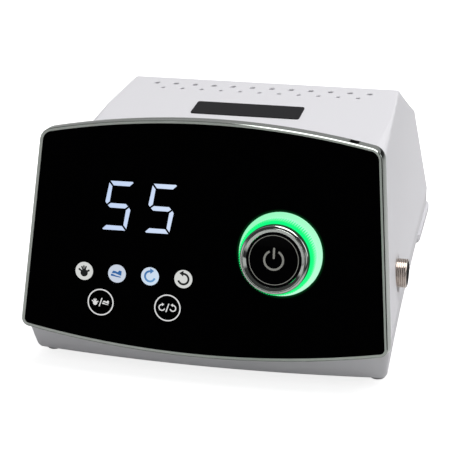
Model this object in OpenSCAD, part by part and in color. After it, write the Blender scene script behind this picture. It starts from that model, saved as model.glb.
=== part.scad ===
// Table-top control unit for a dental micromotor: white moulded housing, leaning black
// glass fascia with a chrome rim, speed display, touch keys and a lit push-and-turn knob.
// Depth runs back from the middle of the fascia; the table is at height 0.

/* [Fascia] */
// Lean of the fascia back from upright, degrees
panel_tilt = 15; // [10:1:20]
// Height of the middle of the glass above the table
panel_height = 75; // [72:1:82]
// Half width of the glass at mid height
glass_half_w = 90; // [84:1:98]
// Widening of each side of the glass per millimetre downwards
glass_lean = 0.084; // [0.04:0.01:0.12]
// Half height of the glass on its centre line
glass_half_h = 58.6; // [54:0.5:62]
// Radius of the arched top edge of the glass
glass_top_r = 420; // [350:10:600]
// Radius of the bowed bottom edge of the glass
glass_bottom_r = 505; // [400:10:700]
// Radius of the upper corners of the glass
glass_corner_r = 5; // [3:0.5:8]
// Radius of the lower corners of the glass
glass_low_r = 2.6; // [2:0.1:6]
// Thickness of the glass
glass_t = 3; // [2:0.5:4]
// Width of the chrome rim round the glass, at its back edge
rim_w = 2.45; // [2.2:0.05:4]
// Depth of the chrome rim behind the glass face
rim_depth = 9; // [7:0.5:12]
// Height of the rim's crest in front of the glass
rim_crest = 0.8; // [0.4:0.1:1.5]
// Width of the ledge in the rim that carries the glass
rim_ledge = 3; // [2:0.5:4]

/* [Housing] */
// Height of the flat top above the table
body_top = 107; // [100:1:114]
// Height at which the rear slope meets the back wall
shoulder_h = 64; // [60:1:70]
// Depth at which the flat top ends and the rear slope begins
top_end = 156; // [148:1:165]
// Depth of the back wall
rear_depth = 242; // [236:1:255]
// Depth at which the cowl behind the fascia has blended into the body
cowl_end = 48; // [42:1:56]
// Half width of the housing beside the tray, at the front
front_half_w = 94.5; // [91:0.5:98]
// Half width of the housing beside the tray, at the back
rear_half_w = 90.3; // [87:0.1:93]
// Inward lean of the side walls at the front, per millimetre of height
draft_front = 0.094; // [0.06:0.002:0.11]
// Inward lean of the side walls at the back, per millimetre of height
draft_rear = 0.18; // [0.12:0.01:0.2]
// Wall thickness of the mouldings
wall = 2.6; // [2:0.2:3.2]
// Radius along the top edges at the back
edge_r = 1.2; // [1:0.2:6]
// Radius along the top edges next to the cowl
edge_front_r = 7; // [4:0.5:9]
// Radius of the edges of the back wall
rear_r = 6; // [5:0.5:10]
// Radius of the lower corners of the chin
chin_r = 3; // [2.5:0.5:6]
// How far the middle of the chin's lower edge bows forwards
chin_bow = 6; // [0:0.5:8]

/* [Base] */
// Clear height under the tray
under_gap = 4; // [3:0.5:6]
// Height of the tray's rim that shows below the housing
tray_rim = 10; // [7:0.5:11]
// Shadow gap between the housing and the tray
shadow_gap = 0.2; // [0.1:0.1:0.6]
// Radius of the front feet
foot_r = 5; // [4:0.5:6]
// Thickness of the pads under the rear legs
pad_t = 1; // [0.6:0.2:1.6]
// Length of the rear legs
leg_l = 59; // [40:1:64]
// Width of the rear legs
leg_w = 18; // [14:1:22]

/* [Vents and badge] */
// Holes in the rear row of vents
vent_count = 12; // [8:1:13]
// Spacing of the vent holes
vent_pitch = 11.4; // [9:0.1:11.6]
// Radius of the holes in the rear row
vent_rear_r = 1.65; // [1:0.05:2]
// Radius of the holes in the front row
vent_front_r = 1.3; // [0.8:0.05:1.6]
// Depth of the rear row of vents
vent_depth = 146; // [142:1:148]
// Distance between the two rows
vent_row_gap = 7.9; // [6:0.1:10]
// Width of the plain badge plate
badge_w = 61; // [40:1:80]
// Length of the badge plate from front to back
badge_l = 19.4; // [12:0.2:24]
// Thickness of the badge plate
badge_t = 0.9; // [0.6:0.1:1.5]
// How deep the badge plate is let into the top
badge_sink = 0.4; // [0.2:0.1:0.6]
// Depth of the badge plate's centre
badge_depth = 106.8; // [100:0.2:114]

/* [Display] */
// Height of a digit
digit_h = 25.4; // [20:0.2:27]
// Width of a digit at its base
digit_w = 12.4; // [10:0.2:14]
// Slant of the digits, degrees
digit_slant = 8.5; // [0:0.5:12]
// Width of the bar of a digit's segment
segment_w = 2.35; // [1.6:0.05:3]
// Spacing of the two digits
digit_pitch = 22.7; // [21:0.1:25]
// Place of the pair of digits from the glass centre, across
digit_x = -34.2; // [-40:0.1:-30]
// Place of the pair of digits from the glass centre, up
digit_v = 14.7; // [10:0.1:18]
// Spacing of the indicator lamps
icon_pitch = 17.56; // [15:0.1:20]
// Radius of the indicator lamps
icon_r = 4.78; // [3.5:0.02:6]
// Place of the row of indicators, across
icon_x = -36.27; // [-40:0.1:-32]
// Place of the row of indicators, up
icon_v = -20.2; // [-22:0.1:-18]
// Radius of a touch key
key_r = 7.16; // [6:0.02:8]
// Place of the touch keys, up
key_v = -35.7; // [-38:0.1:-34]
// Distance of the circuit board behind the glass
board_gap = 9; // [8:0.5:11]
// Thickness of the circuit boards
board_t = 1.6; // [1:0.2:2]

/* [Knob] */
// Place of the knob, across
knob_x = 39.5; // [36:0.1:44]
// Place of the knob, up
knob_v = -3.75; // [-8:0.05:2]
// Outer radius of the light ring
light_r = 21.2; // [20:0.1:24]
// Radius over the knurl of the knob
knurl_r = 18.7; // [17:0.1:19]
// Number of knurl teeth
knurl_teeth = 96; // [48:1:120]
// Depth of the knurl
knurl_deep = 0.5; // [0.2:0.05:0.6]
// Height of the knurled skirt
skirt_h = 9.9; // [8:0.1:12]
// Radius of the chrome ring of the knob
chrome_r = 17.2; // [16.2:0.1:17.5]
// Height of the chrome ring
chrome_h = 6.6; // [4:0.1:7]
// Radius of the black cap in the chrome ring
cap_r = 13.75; // [11:0.05:14.5]
// Travel of the knob when pressed
push_travel = 0.8; // [0.4:0.1:1]
// Radius of the encoder shaft
shaft_r = 3; // [2:0.1:4]

/* [Handpiece socket] */
// Radius of the threaded barrel
barrel_r = 8; // [6:0.1:10]
// Length of barrel that stands out of the wall
barrel_out = 5.9; // [5:0.1:9]
// Depth of the socket along the side wall
socket_depth = 74.5; // [66:0.5:84]
// Height of the socket above the table
socket_h = 30.3; // [26:0.1:38]
// Number of contacts
contact_count = 4; // [3:1:6]

/* [Rear connections] */
// Width of the recess for the rear plate
plate_w = 124; // [120:1:132]
// Height of the rear plate
plate_h = 36; // [35.6:0.2:38]
// How far the rear plate lies in from the back wall
plate_recess = 5; // [4.5:0.5:7]
// Thickness of the rear plate
plate_t = 2; // [1.5:0.1:3]
// Place of the mains inlet across the rear plate
inlet_x = 30; // [24:1:36]
// Place of the power switch across the rear plate
switch_x = -8; // [-12:1:0]
// Place of the foot control jack across the rear plate
jack_x = -40; // [-46:1:-32]
// Radius of the jack's bore
jack_bore_r = 3.2; // [2:0.1:3.6]
// Length that the fuse drawer pulls out
drawer_travel = 18; // [10:1:20]
// Half angle of the rocker's swing, degrees
rocker_swing = 9; // [5:1:12]

/* [Inside] */
// Width of the main circuit board
main_w = 110; // [90:1:120]
// Length kept free behind the main board for the transformer and the rear connections
rear_room = 98; // [92:1:112]
// Height of the posts that carry the main board
post_h = 6; // [4:0.5:10]
// Width of the transformer core
core_w = 66; // [50:1:70]
// Thickness of the transformer core stack
core_l = 34; // [24:1:38]
// Height of the transformer core
core_h = 50; // [40:1:54]
// Number of fins on the heat sink
fin_count = 8; // [4:1:9]

/* [Hidden] */
$fn = 48;

// Clearances: slip between fixed pieces, running fit of a shaft, gap beside a moving piece
slip = 0.1;
running = 0.05;
moving_gap = 0.35;
overcut = 1;

// Screws: M3 with a pan head
screw_r = 1.5;
screw_hole_r = screw_r + slip;
screw_head_r = 2.9;
screw_head_h = 2;

// Heights of the base, measured from the table
seam_h = under_gap + tray_rim;
floor_h = under_gap + wall;
drop = panel_height - under_gap;

// Reach of the knob in front of the glass centre and the middle of the whole length
knob_rise = 1.6;
neck_h = 0.6;
ring_round = 1.6;
knob_seat = knob_rise + skirt_h + neck_h;
knob_front = knob_seat + chrome_h;
nose_out = (knob_front - ring_round) * cos(panel_tilt) + ring_round;
front_reach = nose_out + (chrome_r - ring_round - knob_v) * sin(panel_tilt);
mid_depth = (rear_depth - front_reach) / 2;

// Planes behind the glass face
frame_t = 2.5;
frame_back = glass_t + frame_t;
board_face = glass_t + board_gap;
board_back = board_face + board_t;

function mix(a, b, t) = a + (b - a) * t;

// Half width of the housing at a depth, beside the tray
function tray_half(y) =
    let (u = min(1, max(0, (y - 10) / (rear_depth - 20))))
    mix(front_half_w, rear_half_w, 1 - pow(1 - u, 2.5));

// Inward lean of the side wall at a depth
function wall_draft(y) =
    draft_front + (draft_rear - draft_front) * pow(max(0, y - 60) / (rear_depth - 70), 2);

// Inset that rounds the edges of the back wall
function rear_inset(y, r = rear_r) =
    let (t = max(0, y - (rear_depth - r)))
    r - sqrt(max(0, r * r - t * t));

// Height of the roof above the glass centre: a level top that bends into the rear slope
function roof(y) =
    let (fall = (body_top - shoulder_h) / (rear_depth - top_end), t = y - top_end, bend = 1)
    body_top - panel_height - fall * (t + sqrt(t * t + bend * bend)) / 2;

// A section of the housing: a rounded outline with leaning sides, an arched top and a bowed bottom.
// Below the seam with the tray the sides stand upright.
// half is its half width at the pivot and lean its change with height; the pivot is [depth, height].
ARC_STEPS = 4;
upright = seam_h - panel_height;
function outline(half, lean, top, top_bow, bottom, bottom_bow, top_r, bottom_r) =
    let (
        upper = [for (i = [0:ARC_STEPS]) let (a = 90 * i / ARC_STEPS, w = top - top_r * (1 - sin(a)))
            [half + lean * w - top_r * (1 - cos(a)), w]],
        lower = [for (i = [0:ARC_STEPS]) let (a = 90 * i / ARC_STEPS, w = bottom + bottom_r * (1 - cos(a)))
            [half + lean * max(w, upright) - bottom_r * (1 - sin(a)), w]],
        bend = max(upright, bottom + bottom_r + 1),
        right = concat(lower, [[half + lean * bend, bend]], upper),
        last = len(right) - 1,
        crown = [for (f = [0.6, 0.2, -0.2, -0.6]) [right[last].x * f, top]],
        belly = [for (f = [-0.6, -0.2, 0.2, 0.6]) [right[0].x * f, bottom]],
        left = [for (i = [last:-1:0]) [-right[i].x, right[i].y]],
        ring = concat(right, crown, left, belly)
    )
    [for (p = ring) [p.x, p.y + (p.y > 0 ? -top_bow : bottom_bow) * pow(p.x / half, 2)]];

// Stands a section up at its pivot; bow pushes the lower half of it forwards in the middle
function stand(ring, pivot, tilt, half, bow) =
    [for (p = ring)
        let (swell = bow * pow(max(0, -p.y) / drop, 2) * (1 - pow(p.x / half, 2)))
        [p.x, pivot.x + p.y * sin(tilt) - swell, pivot.y + p.y * cos(tilt)]];

// Sections of the cowl, from the back of the rim (t = 0) to the body (t = 1)
CHIN_T = 0.2;
rim_overlap = 1.45;
top_bow = pow(glass_half_w, 2) / (2 * glass_top_r);
bottom_bow = pow(glass_half_w, 2) / (2 * glass_bottom_r);
function cowl_section(t, inset) =
    let (
        tilt = panel_tilt * (1 - t),
        sink = rim_depth * sin(panel_tilt) * (1 - t),
        pivot = [mix(rim_depth * cos(panel_tilt), cowl_end, t), panel_height - sink],
        grow = rim_w - rim_overlap - inset,
        settle = 1 - pow(1 - t, 2),
        down = min(1, t / CHIN_T),
        floor_w = (under_gap - pivot.y) / cos(tilt) + inset,
        half = mix(glass_half_w + grow, tray_half(cowl_end) - drop * wall_draft(cowl_end) - inset,
            1 - pow(1 - t, 3)),
        top = mix(glass_half_h + grow, body_top - panel_height - inset, settle)
    )
    stand(outline(half, -mix(glass_lean, wall_draft(cowl_end), t), top, top_bow * (1 - settle),
            mix(-glass_half_h - grow, floor_w, down), bottom_bow * (1 - down),
            mix(glass_corner_r + 1, edge_front_r, t), chin_r), pivot, tilt, half, chin_bow * down * (1 - t));

// Sections of the body behind the cowl
function body_section(y, inset) =
    let (
        shrink = rear_inset(y) + inset,
        half = tray_half(y) - drop * wall_draft(y) - shrink
    )
    stand(outline(half, -wall_draft(y), roof(y) - shrink, 0, under_gap - panel_height + inset, 0,
            mix(edge_front_r, edge_r, min(1, (y - cowl_end) / 60)), 1.5), [y, panel_height], 0, half, 0);

COWL_STEPS = [0, 0.07, 0.14, 0.2, 0.32, 0.46, 0.64, 0.82];
function body_depths() = concat(
    [for (f = [0, 0.3, 0.6, 0.86]) mix(cowl_end, top_end, f)],
    [for (f = [-5, -1.6, 0, 1.6, 5]) top_end + f],
    [for (f = [0.33, 0.66, 1]) mix(top_end + 5, rear_depth - rear_r, f)],
    [for (a = [25, 50, 70, 90]) rear_depth - rear_r * (1 - sin(a))]);

// Skin of triangles over a stack of equal rings
module loft(rings) {
    n = len(rings[0]);
    last = len(rings) - 1;
    points = [for (ring = rings) each ring];
    sides = [for (k = [0:last - 1], i = [0:n - 1])
        let (a = k * n + i, b = k * n + (i + 1) % n)
        each [[a, b, a + n], [b, b + n, a + n]]];
    hub = ARC_STEPS + 1;
    front_cap = [for (i = [1:n - 2]) [hub, (hub + i + 1) % n, (hub + i) % n]];
    rear_cap = [for (i = [1:n - 2]) last * n * [1, 1, 1] + [hub, (hub + i) % n, (hub + i + 1) % n]];
    polyhedron(points, concat(front_cap, sides, rear_cap), convexity = 6);
}

// Whole model, with the middle of its length at the origin
module placed() translate([0, -mid_depth, 0]) children();

// Frame of the glass: x across, y up the glass, z out of it
module on_glass(x = 0, v = 0, n = 0)
    placed() translate([0, 0, panel_height]) rotate([90 - panel_tilt, 0, 0]) translate([x, v, n]) children();

// Frame of the side socket: z along its axis, out of the right wall
module on_side(x) placed() translate([x, socket_depth, socket_h]) rotate([0, 90, 0]) children();

// Frame of the rear plate: x across, y up, z out of the back
plate_face = rear_depth - plate_recess;
plate_mid_h = seam_h + plate_h / 2 + 3;
module on_rear(x = 0, v = 0, n = 0)
    placed() translate([0, plate_face, plate_mid_h]) rotate([90, 0, 180]) translate([x, v, n]) children();

module mirrored() {
    children();
    mirror([1, 0, 0]) children();
}

module rounded_plate(w, l, r) {
    for (x = [-1, 1], y = [-1, 1]) translate([x * (w / 2 - r), y * (l / 2 - r)]) circle(r);
    square([w - 2 * r, l], center = true);
    square([w, l - 2 * r], center = true);
}

module box(w, l, h) translate([-w / 2, -l / 2, 0]) cube([w, l, h]);

// Pan head at 0, shank downwards
module screw(shank) {
    cylinder(r = screw_head_r, h = screw_head_h);
    translate([0, 0, -shank]) cylinder(r = screw_r, h = shank);
}

// Points along an arc, from step first to its end
function arc_points(mid, r, start, end, steps, first) =
    [for (i = [first:1:steps]) let (t = start + (end - start) * i / max(1, steps)) mid + r * [cos(t), sin(t)]];

// Centre of a corner of the glass: the side line and the bowed edge, both drawn in by r, meet there
function corner_mid(r, bow_r, s) =
    let (
        a = glass_half_w - r * norm([1, glass_lean]),
        m = s * (glass_half_h - bow_r),
        k = 1 + pow(glass_lean, 2),
        b = a * glass_lean + m,
        v = (b + s * sqrt(b * b - k * (a * a + m * m - pow(bow_r - r, 2)))) / k
    )
    [a - glass_lean * v, v];

// Right half of the outline of the glass, grown by a margin, from its lowest point to its highest
BOW_STEPS = 9;
CORNER_STEPS = 6;
function glass_edge(grow) =
    let (
        low_r = max(glass_low_r, -grow),
        high_r = max(glass_corner_r, -grow),
        low = corner_mid(low_r, glass_bottom_r, -1),
        high = corner_mid(high_r, glass_top_r, 1),
        low_mid = [0, glass_bottom_r - glass_half_h],
        high_mid = [0, glass_half_h - glass_top_r],
        side = atan(glass_lean),
        low_end = atan2(low.y - low_mid.y, low.x),
        high_end = atan2(high.y - high_mid.y, high.x),
        low_steps = low_r + grow > 0 ? CORNER_STEPS : 0,
        high_steps = high_r + grow > 0 ? CORNER_STEPS : 0
    )
    concat(
        arc_points(low_mid, glass_bottom_r + grow, -90, low_end, BOW_STEPS, 0),
        arc_points(low, low_r + grow, low_end, side, low_steps, 1),
        arc_points(high, high_r + grow, side, high_end, high_steps, 0),
        arc_points(high_mid, glass_top_r + grow, high_end, 90, BOW_STEPS, 1));

module glass_outline(grow = 0) {
    right = glass_edge(grow);
    polygon(concat(right, [for (i = [len(right) - 2:-1:1]) [-right[i].x, right[i].y]]));
}

// Plan of the housing at the seam, drawn in by an inset, from a starting depth back
function seam_half(y) = tray_half(y) - tray_rim * wall_draft(y) - rear_inset(y);
module seam_plan(inset, start) {
    depths = concat([start], [for (y = body_depths()) if (y > start + 1 && y < rear_depth - 0.5) y]);
    right = [for (y = depths) [seam_half(y) - inset, min(y, rear_depth - inset)]];
    tail = [[seam_half(rear_depth) - inset, rear_depth - inset]];
    left = [for (p = concat(right, tail)) [-p.x, p.y]];
    polygon(concat(right, tail, [for (i = [len(left) - 1:-1:0]) left[i]]));
}

// Places shared by the housing and the tray
tray_start = 8;
post_r = 4;
post_l = 30;
front_post_gap = 6;
rear_post_gap = 22;
// Each post stands far enough out to sink half a wall into the leaning side at its top
function post_x(y) =
    tray_half(y) - rear_inset(y) - wall_draft(y) * (seam_h + post_l - under_gap) - wall / 2 - post_r;
case_posts = [for (y = [cowl_end + front_post_gap, rear_depth - rear_post_gap], s = [-1, 1])
    [s * post_x(y), y]];

/* Housing */

socket_face_x = tray_half(socket_depth) - wall_draft(socket_depth) * (socket_h - under_gap) - 1;
spot_r = barrel_r + 2.6;
socket_flange_t = 0.6;
socket_flange_r = barrel_r + 0.6;
rear_thread_r = barrel_r - 0.5;
socket_wall = 3.2;

module vents() {
    for (i = [0:vent_count - 1])
        translate([(i - (vent_count - 1) / 2) * vent_pitch, vent_depth, body_top - 2 * wall])
            cylinder(r = vent_rear_r, h = 3 * wall);
    for (i = [0:vent_count - 2])
        translate([(i - (vent_count - 2) / 2) * vent_pitch, vent_depth - vent_row_gap, body_top - 2 * wall])
            cylinder(r = vent_front_r, h = 3 * wall);
}

ledge_w = 6;
ledge_t = 3;
pocket_wall = 2;
module rear_pocket() {
    deep = plate_recess + plate_t + ledge_t;
    on_rear(0, 0, -plate_t - ledge_t)
        linear_extrude(deep - wall / 2)
            square([plate_w + 2 * pocket_wall, plate_h + 2 * pocket_wall], center = true);
}

module rear_pocket_cut() {
    on_rear(0, 0, -plate_t) linear_extrude(plate_recess + plate_t + overcut)
        square([plate_w, plate_h], center = true);
    on_rear(0, 0, -plate_t - ledge_t - overcut) linear_extrude(ledge_t + 2 * overcut)
        square([plate_w - 2 * ledge_w, plate_h], center = true);
    for (p = plate_holes) on_rear(p.x, p.y, -plate_t - ledge_t - overcut)
        cylinder(r = screw_r + slip / 2, h = ledge_t + 2 * overcut);
}

module upper_shell() color("whitesmoke") {
    outer = concat([for (t = COWL_STEPS) cowl_section(t, 0)], [for (y = body_depths()) body_section(y, 0)]);
    mouth = [for (p = cowl_section(0, wall)) p + overcut * [0, -cos(panel_tilt), sin(panel_tilt)]];
    inner_depths = concat([for (y = body_depths()) if (y < rear_depth - wall - 1) y], [rear_depth - wall]);
    inner = concat([mouth], [for (t = COWL_STEPS) if (t > 0) cowl_section(t, wall)],
        [for (y = inner_depths) body_section(y, wall)]);
    difference() {
        union() {
            placed() difference() {
                loft(outer);
                loft(inner);
            }
            rear_pocket();
            for (p = case_posts) placed() translate([p.x, p.y, seam_h]) cylinder(r = post_r, h = post_l);
            on_side(socket_face_x - socket_wall) cylinder(r = spot_r + 2, h = socket_wall - 0.8);
        }
        rear_pocket_cut();
        placed() vents();
        placed() translate([0, tray_start, -overcut])
            translate([-2 * front_half_w, 0, 0]) cube([4 * front_half_w, rear_depth, seam_h + overcut]);
        for (p = case_posts) placed() translate([p.x, p.y, seam_h - overcut])
            cylinder(r = screw_r + slip / 2, h = 13 + overcut);
        on_side(socket_face_x) cylinder(r = spot_r, h = 10);
        on_side(socket_face_x - 2 * socket_wall) cylinder(r = rear_thread_r + slip, h = 3 * socket_wall);
        placed() translate([0, badge_depth, body_top - badge_sink])
            linear_extrude(2) rounded_plate(badge_w + 2 * slip, badge_l + 2 * slip, 1.5 + slip);
    }
}

module badge_plate() color("dimgray") placed()
    translate([0, badge_depth, body_top - badge_sink]) linear_extrude(badge_t)
        rounded_plate(badge_w, badge_l, 1.5);

/* Base */

board_x = 18;
board_start = 40;
main_l = rear_depth - board_start - rear_room;
board_y = board_start + main_l / 2;
main_posts = [for (x = [-1, 1], y = [-1, 1])
    [board_x + x * (main_w / 2 - 5), board_y + y * (main_l / 2 - 5)]];
core_x = -30;
core_y = rear_depth - 66;
core_holes = [for (s = [-1, 1]) [core_x + s * (core_w / 2 + 5), core_y]];
foot_inset = 6.8;
foot_x = front_half_w - foot_inset;
foot_y = 12.6;
peg_r = 2.4;
leg_out = 1.4;
leg_gap = 3;
leg_y = rear_depth - leg_gap - leg_l / 2;
leg_x = seam_half(leg_y) + leg_out - leg_w / 2;
pad_inset = 0.6;
lip_h = 3;
lip_t = 1.6;
head_pocket = 2.4;

module base_tray() color("gainsboro") difference() {
    union() {
        placed() translate([0, 0, under_gap]) linear_extrude(tray_rim) difference() {
            seam_plan(shadow_gap, tray_start + shadow_gap);
            seam_plan(shadow_gap + wall, tray_start + shadow_gap + wall);
        }
        placed() translate([0, 0, under_gap]) linear_extrude(wall)
            seam_plan(shadow_gap, tray_start + shadow_gap);
        placed() translate([0, 0, under_gap]) linear_extrude(tray_rim + lip_h) difference() {
            seam_plan(wall + 2 * slip + 0.6, tray_start + wall + shadow_gap);
            seam_plan(wall + 2 * slip + 0.6 + lip_t, tray_start + wall + shadow_gap + lip_t);
            for (p = case_posts) translate(p) circle(post_r + 0.5);
            translate([0, rear_depth]) square([plate_w + 4 * pocket_wall, 60], center = true);
            square([4 * front_half_w, 2 * cowl_end], center = true);
        }
        for (p = case_posts) placed() translate([p.x, p.y, under_gap])
            cylinder(r = post_r + 1.4, h = tray_rim);
        for (p = main_posts) placed() translate([p.x, p.y, floor_h - overcut])
            cylinder(r = 3.5, h = post_h + overcut);
        for (p = core_holes) placed() translate([p.x, p.y, floor_h - overcut])
            cylinder(r = 5, h = 2 + overcut);
        mirrored() placed() translate([leg_x, leg_y, pad_t]) linear_extrude(under_gap - pad_t + overcut)
            rounded_plate(leg_w, leg_l, 6);
    }
    for (p = case_posts) placed() translate([p.x, p.y, 0]) {
        cylinder(r = screw_head_r + 0.3, h = under_gap + head_pocket);
        cylinder(r = screw_hole_r, h = seam_h + overcut);
    }
    for (p = main_posts) placed() translate([p.x, p.y, floor_h + 0.6]) cylinder(r = screw_hole_r, h = post_h);
    for (p = core_holes) placed() translate([p.x, p.y, under_gap + 0.6]) cylinder(r = screw_hole_r, h = 10);
    mirrored() placed() translate([foot_x, foot_y, 0]) cylinder(r = peg_r + slip, h = floor_h + overcut);
    for (i = [0:9]) placed() translate([board_x + (i - 4.5) * 8, board_y, 0]) box(3, 40, floor_h + overcut);
}

module front_foot(side) color("dimgray") placed() translate([side * foot_x, foot_y, 0]) {
    cylinder(r1 = foot_r - 1, r2 = foot_r, h = under_gap);
    cylinder(r = peg_r, h = floor_h + 0.4);
}

module front_foot_left() front_foot(-1);
module front_foot_right() front_foot(1);

module rear_pad(side) color("dimgray") placed()
    translate([side * leg_x, leg_y, 0]) linear_extrude(pad_t)
        rounded_plate(leg_w - 2 * pad_inset, leg_l - 2 * pad_inset, 5);

module rear_pad_left() rear_pad(-1);
module rear_pad_right() rear_pad(1);

module case_screws() color("silver") for (p = case_posts)
    placed() translate([p.x, p.y, under_gap + head_pocket]) rotate([180, 0, 0])
        screw(tray_rim - head_pocket + 11);

/* Fascia */

notch_x = 73;
notch_w = 4.4;
rim_taper = 0.6;
module front_bezel() color("silver") on_glass() difference() {
    hull() {
        translate([0, 0, -rim_depth]) linear_extrude(2) glass_outline(rim_w);
        translate([0, 0, rim_crest - 0.5]) linear_extrude(0.5) glass_outline(rim_w - rim_taper);
    }
    translate([0, 0, -glass_t]) linear_extrude(glass_t + rim_crest + overcut) glass_outline(slip);
    translate([0, 0, -rim_depth - overcut]) linear_extrude(rim_depth + 2 * overcut) glass_outline(-rim_ledge);
    translate([notch_x, glass_half_h + rim_w - pow(notch_x, 2) / (2 * glass_top_r), -4]) box(notch_w, 3, 2);
}

module front_panel() color([0.02, 0.02, 0.02]) difference() {
    on_glass(0, 0, -glass_t) linear_extrude(glass_t) glass_outline();
    on_glass(knob_x, knob_v, -glass_t - overcut) cylinder(r = light_r + slip, h = glass_t + 2 * overcut);
}

digit_case_w = digit_pitch - 0.3;
digit_case_h = digit_h + 8;
panel_board_w = 2 * glass_half_w - 26;
panel_board_h = 2 * glass_half_h - 25.2;
panel_board_v = -3.5;
frame_posts = [for (x = [-1, 1], v = [1, -1])
    [x * (panel_board_w / 2 - 5), panel_board_v + v * (panel_board_h / 2 - 6.5)]];
function icon_place(i) = icon_x + (i - 1.5) * icon_pitch;
function key_place(i) = icon_x + (i - 0.5) * 2 * icon_pitch;
key_pad_r = key_r - 1.6;

module panel_frame() color([0.1, 0.1, 0.1]) difference() {
    union() {
        on_glass(0, 0, -frame_back) linear_extrude(frame_t) glass_outline(-rim_ledge - slip);
        for (p = frame_posts) on_glass(p.x, p.y, -board_face) cylinder(r = 3.5, h = board_face - glass_t);
    }
    on_glass(digit_x, digit_v, -frame_back - overcut)
        box(digit_pitch + digit_case_w + 0.4, digit_case_h + 0.4, frame_t + 2 * overcut);
    for (i = [0:3]) on_glass(icon_place(i), icon_v, -frame_back - overcut)
        cylinder(r = icon_r + slip, h = frame_t + 2 * overcut);
    for (i = [0:1]) on_glass(key_place(i), key_v, -frame_back - overcut)
        cylinder(r = key_pad_r + 0.5, h = frame_t + 2 * overcut);
    on_glass(knob_x, knob_v, -frame_back - overcut) cylinder(r = light_r + slip, h = frame_t + 2 * overcut);
    for (p = frame_posts) on_glass(p.x, p.y, -board_face - overcut)
        cylinder(r = screw_hole_r, h = board_face - frame_back + overcut);
}

module display_board() color("darkgreen") difference() {
    on_glass(0, panel_board_v, -board_back) linear_extrude(board_t)
        rounded_plate(panel_board_w, panel_board_h, 3);
    for (p = frame_posts) on_glass(p.x, p.y, -board_back - overcut) cylinder(r = screw_hole_r, h = 10);
}

module board_screws() color("silver") for (p = frame_posts)
    on_glass(p.x, p.y, -board_back) rotate([180, 0, 0]) screw(board_t + 5);

segment_t = 0.2;
function digit_place(i) = digit_x + (i - 0.5) * digit_pitch;
module digit_case(i) color([0.15, 0.15, 0.15])
    on_glass(digit_place(i), digit_v, -board_face) box(digit_case_w, digit_case_h, board_gap - segment_t);
module tens_digit() digit_case(0);
module units_digit() digit_case(1);

// A bar of a digit with pointed ends, and the seven bars of a slanted digit
module bar(l) {
    h = segment_w / 2;
    polygon([[-l / 2 + h, -h], [l / 2 - h, -h], [l / 2, 0], [l / 2 - h, h], [-l / 2 + h, h], [-l / 2, 0]]);
}

module digit_segments(i) color("aliceblue") {
    across = digit_w - segment_w;
    up = (digit_h - segment_w) / 2;
    split = 0.35;
    level = [for (v = [-1, 0, 1]) [0, v * up, 0, across]];
    upright = [for (x = [-1, 1], v = [-1, 1]) [x * across / 2, v * up / 2, 90, up]];
    bars = concat(level, upright);
    on_glass(digit_place(i), digit_v, -glass_t - segment_t) linear_extrude(segment_t)
        for (b = bars) translate([b[0] + b[1] * tan(digit_slant), b[1]])
            rotate(b[2] == 0 ? 0 : 90 - digit_slant) bar(b[3] - split);
}

module tens_segments() digit_segments(0);
module units_segments() digit_segments(1);

lens_flange = 1.5;
module icon_lens(i) color("white") on_glass(icon_place(i), icon_v, -frame_back) {
    cylinder(r = icon_r, h = frame_t);
    translate([0, 0, -lens_flange]) cylinder(r = icon_r + 0.8, h = lens_flange);
}

module hand_lens() icon_lens(0);
module pedal_lens() icon_lens(1);
module forward_lens() icon_lens(2);
module reverse_lens() icon_lens(3);

module indicator_leds() color("lightyellow") for (i = [0:3])
    on_glass(icon_place(i), icon_v, -board_face) box(3.5, 2.8, 1.9);

module key_pad(i) color("goldenrod")
    on_glass(key_place(i), key_v, -board_face) cylinder(r = key_pad_r, h = board_gap);
module mode_key_pad() key_pad(0);
module direction_key_pad() key_pad(1);

/* Knob */

module on_knob(n) on_glass(knob_x, knob_v, n) children();

bushing_r = shaft_r + 1.2;
ring_face = 0.5;
ring_web = 2;
encoder_h = board_face - frame_back - ring_web;
module light_ring() color("palegreen") on_knob(0) rotate_extrude($fn = 96) polygon([
    [bushing_r + 1, -frame_back - ring_web], [light_r + 1.4, -frame_back - ring_web],
    [light_r + 1.4, -frame_back], [light_r, -frame_back],
    [light_r, ring_face - 0.4], [light_r - 0.4, ring_face],
    [knurl_r - 1.5, ring_face], [knurl_r - 2.5, ring_face - 1], [bushing_r + 1, ring_face - 1]]);

module ring_leds() color("lightyellow") for (i = [0:11])
    on_knob(-board_face) rotate(30 * i) translate([(light_r + knurl_r) / 2, 0, 0]) box(2.8, 3.5, 1.9);

plunger_h = 3;
shaft_foot = -board_face + push_travel + 0.3 + plunger_h;
module encoder_body() color("slategray") on_knob(-board_face) difference() {
    union() {
        box(13, 13, encoder_h);
        cylinder(r = bushing_r, h = board_face - 0.5);
    }
    translate([0, 0, -overcut]) cylinder(r = shaft_r + running, h = board_face + 2 * overcut);
}

module switch_plunger() color("black") on_knob(shaft_foot - plunger_h) cylinder(r = shaft_r, h = plunger_h);

shaft_end = knob_rise + skirt_h - 1.5;
module encoder_shaft() color("silver") on_knob(shaft_foot) cylinder(r = shaft_r, h = shaft_end - shaft_foot);

module knob_body() color("darkgray") on_knob(knob_rise) difference() {
    union() {
        difference() {
            linear_extrude(skirt_h) polygon([for (i = [0:2 * knurl_teeth - 1])
                let (a = 180 * i / knurl_teeth, r = knurl_r - (i % 2) * knurl_deep) r * [cos(a), sin(a)]]);
            translate([0, 0, -overcut]) cylinder(r = knurl_r - 3, h = skirt_h - 3 + overcut);
        }
        cylinder(r = shaft_r + 2.6, h = skirt_h - 1);
        translate([0, 0, skirt_h - overcut]) cylinder(r = chrome_r - 1, h = neck_h + overcut);
    }
    translate([0, 0, -overcut]) cylinder(r = shaft_r + running, h = shaft_end - knob_rise + overcut);
}

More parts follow.
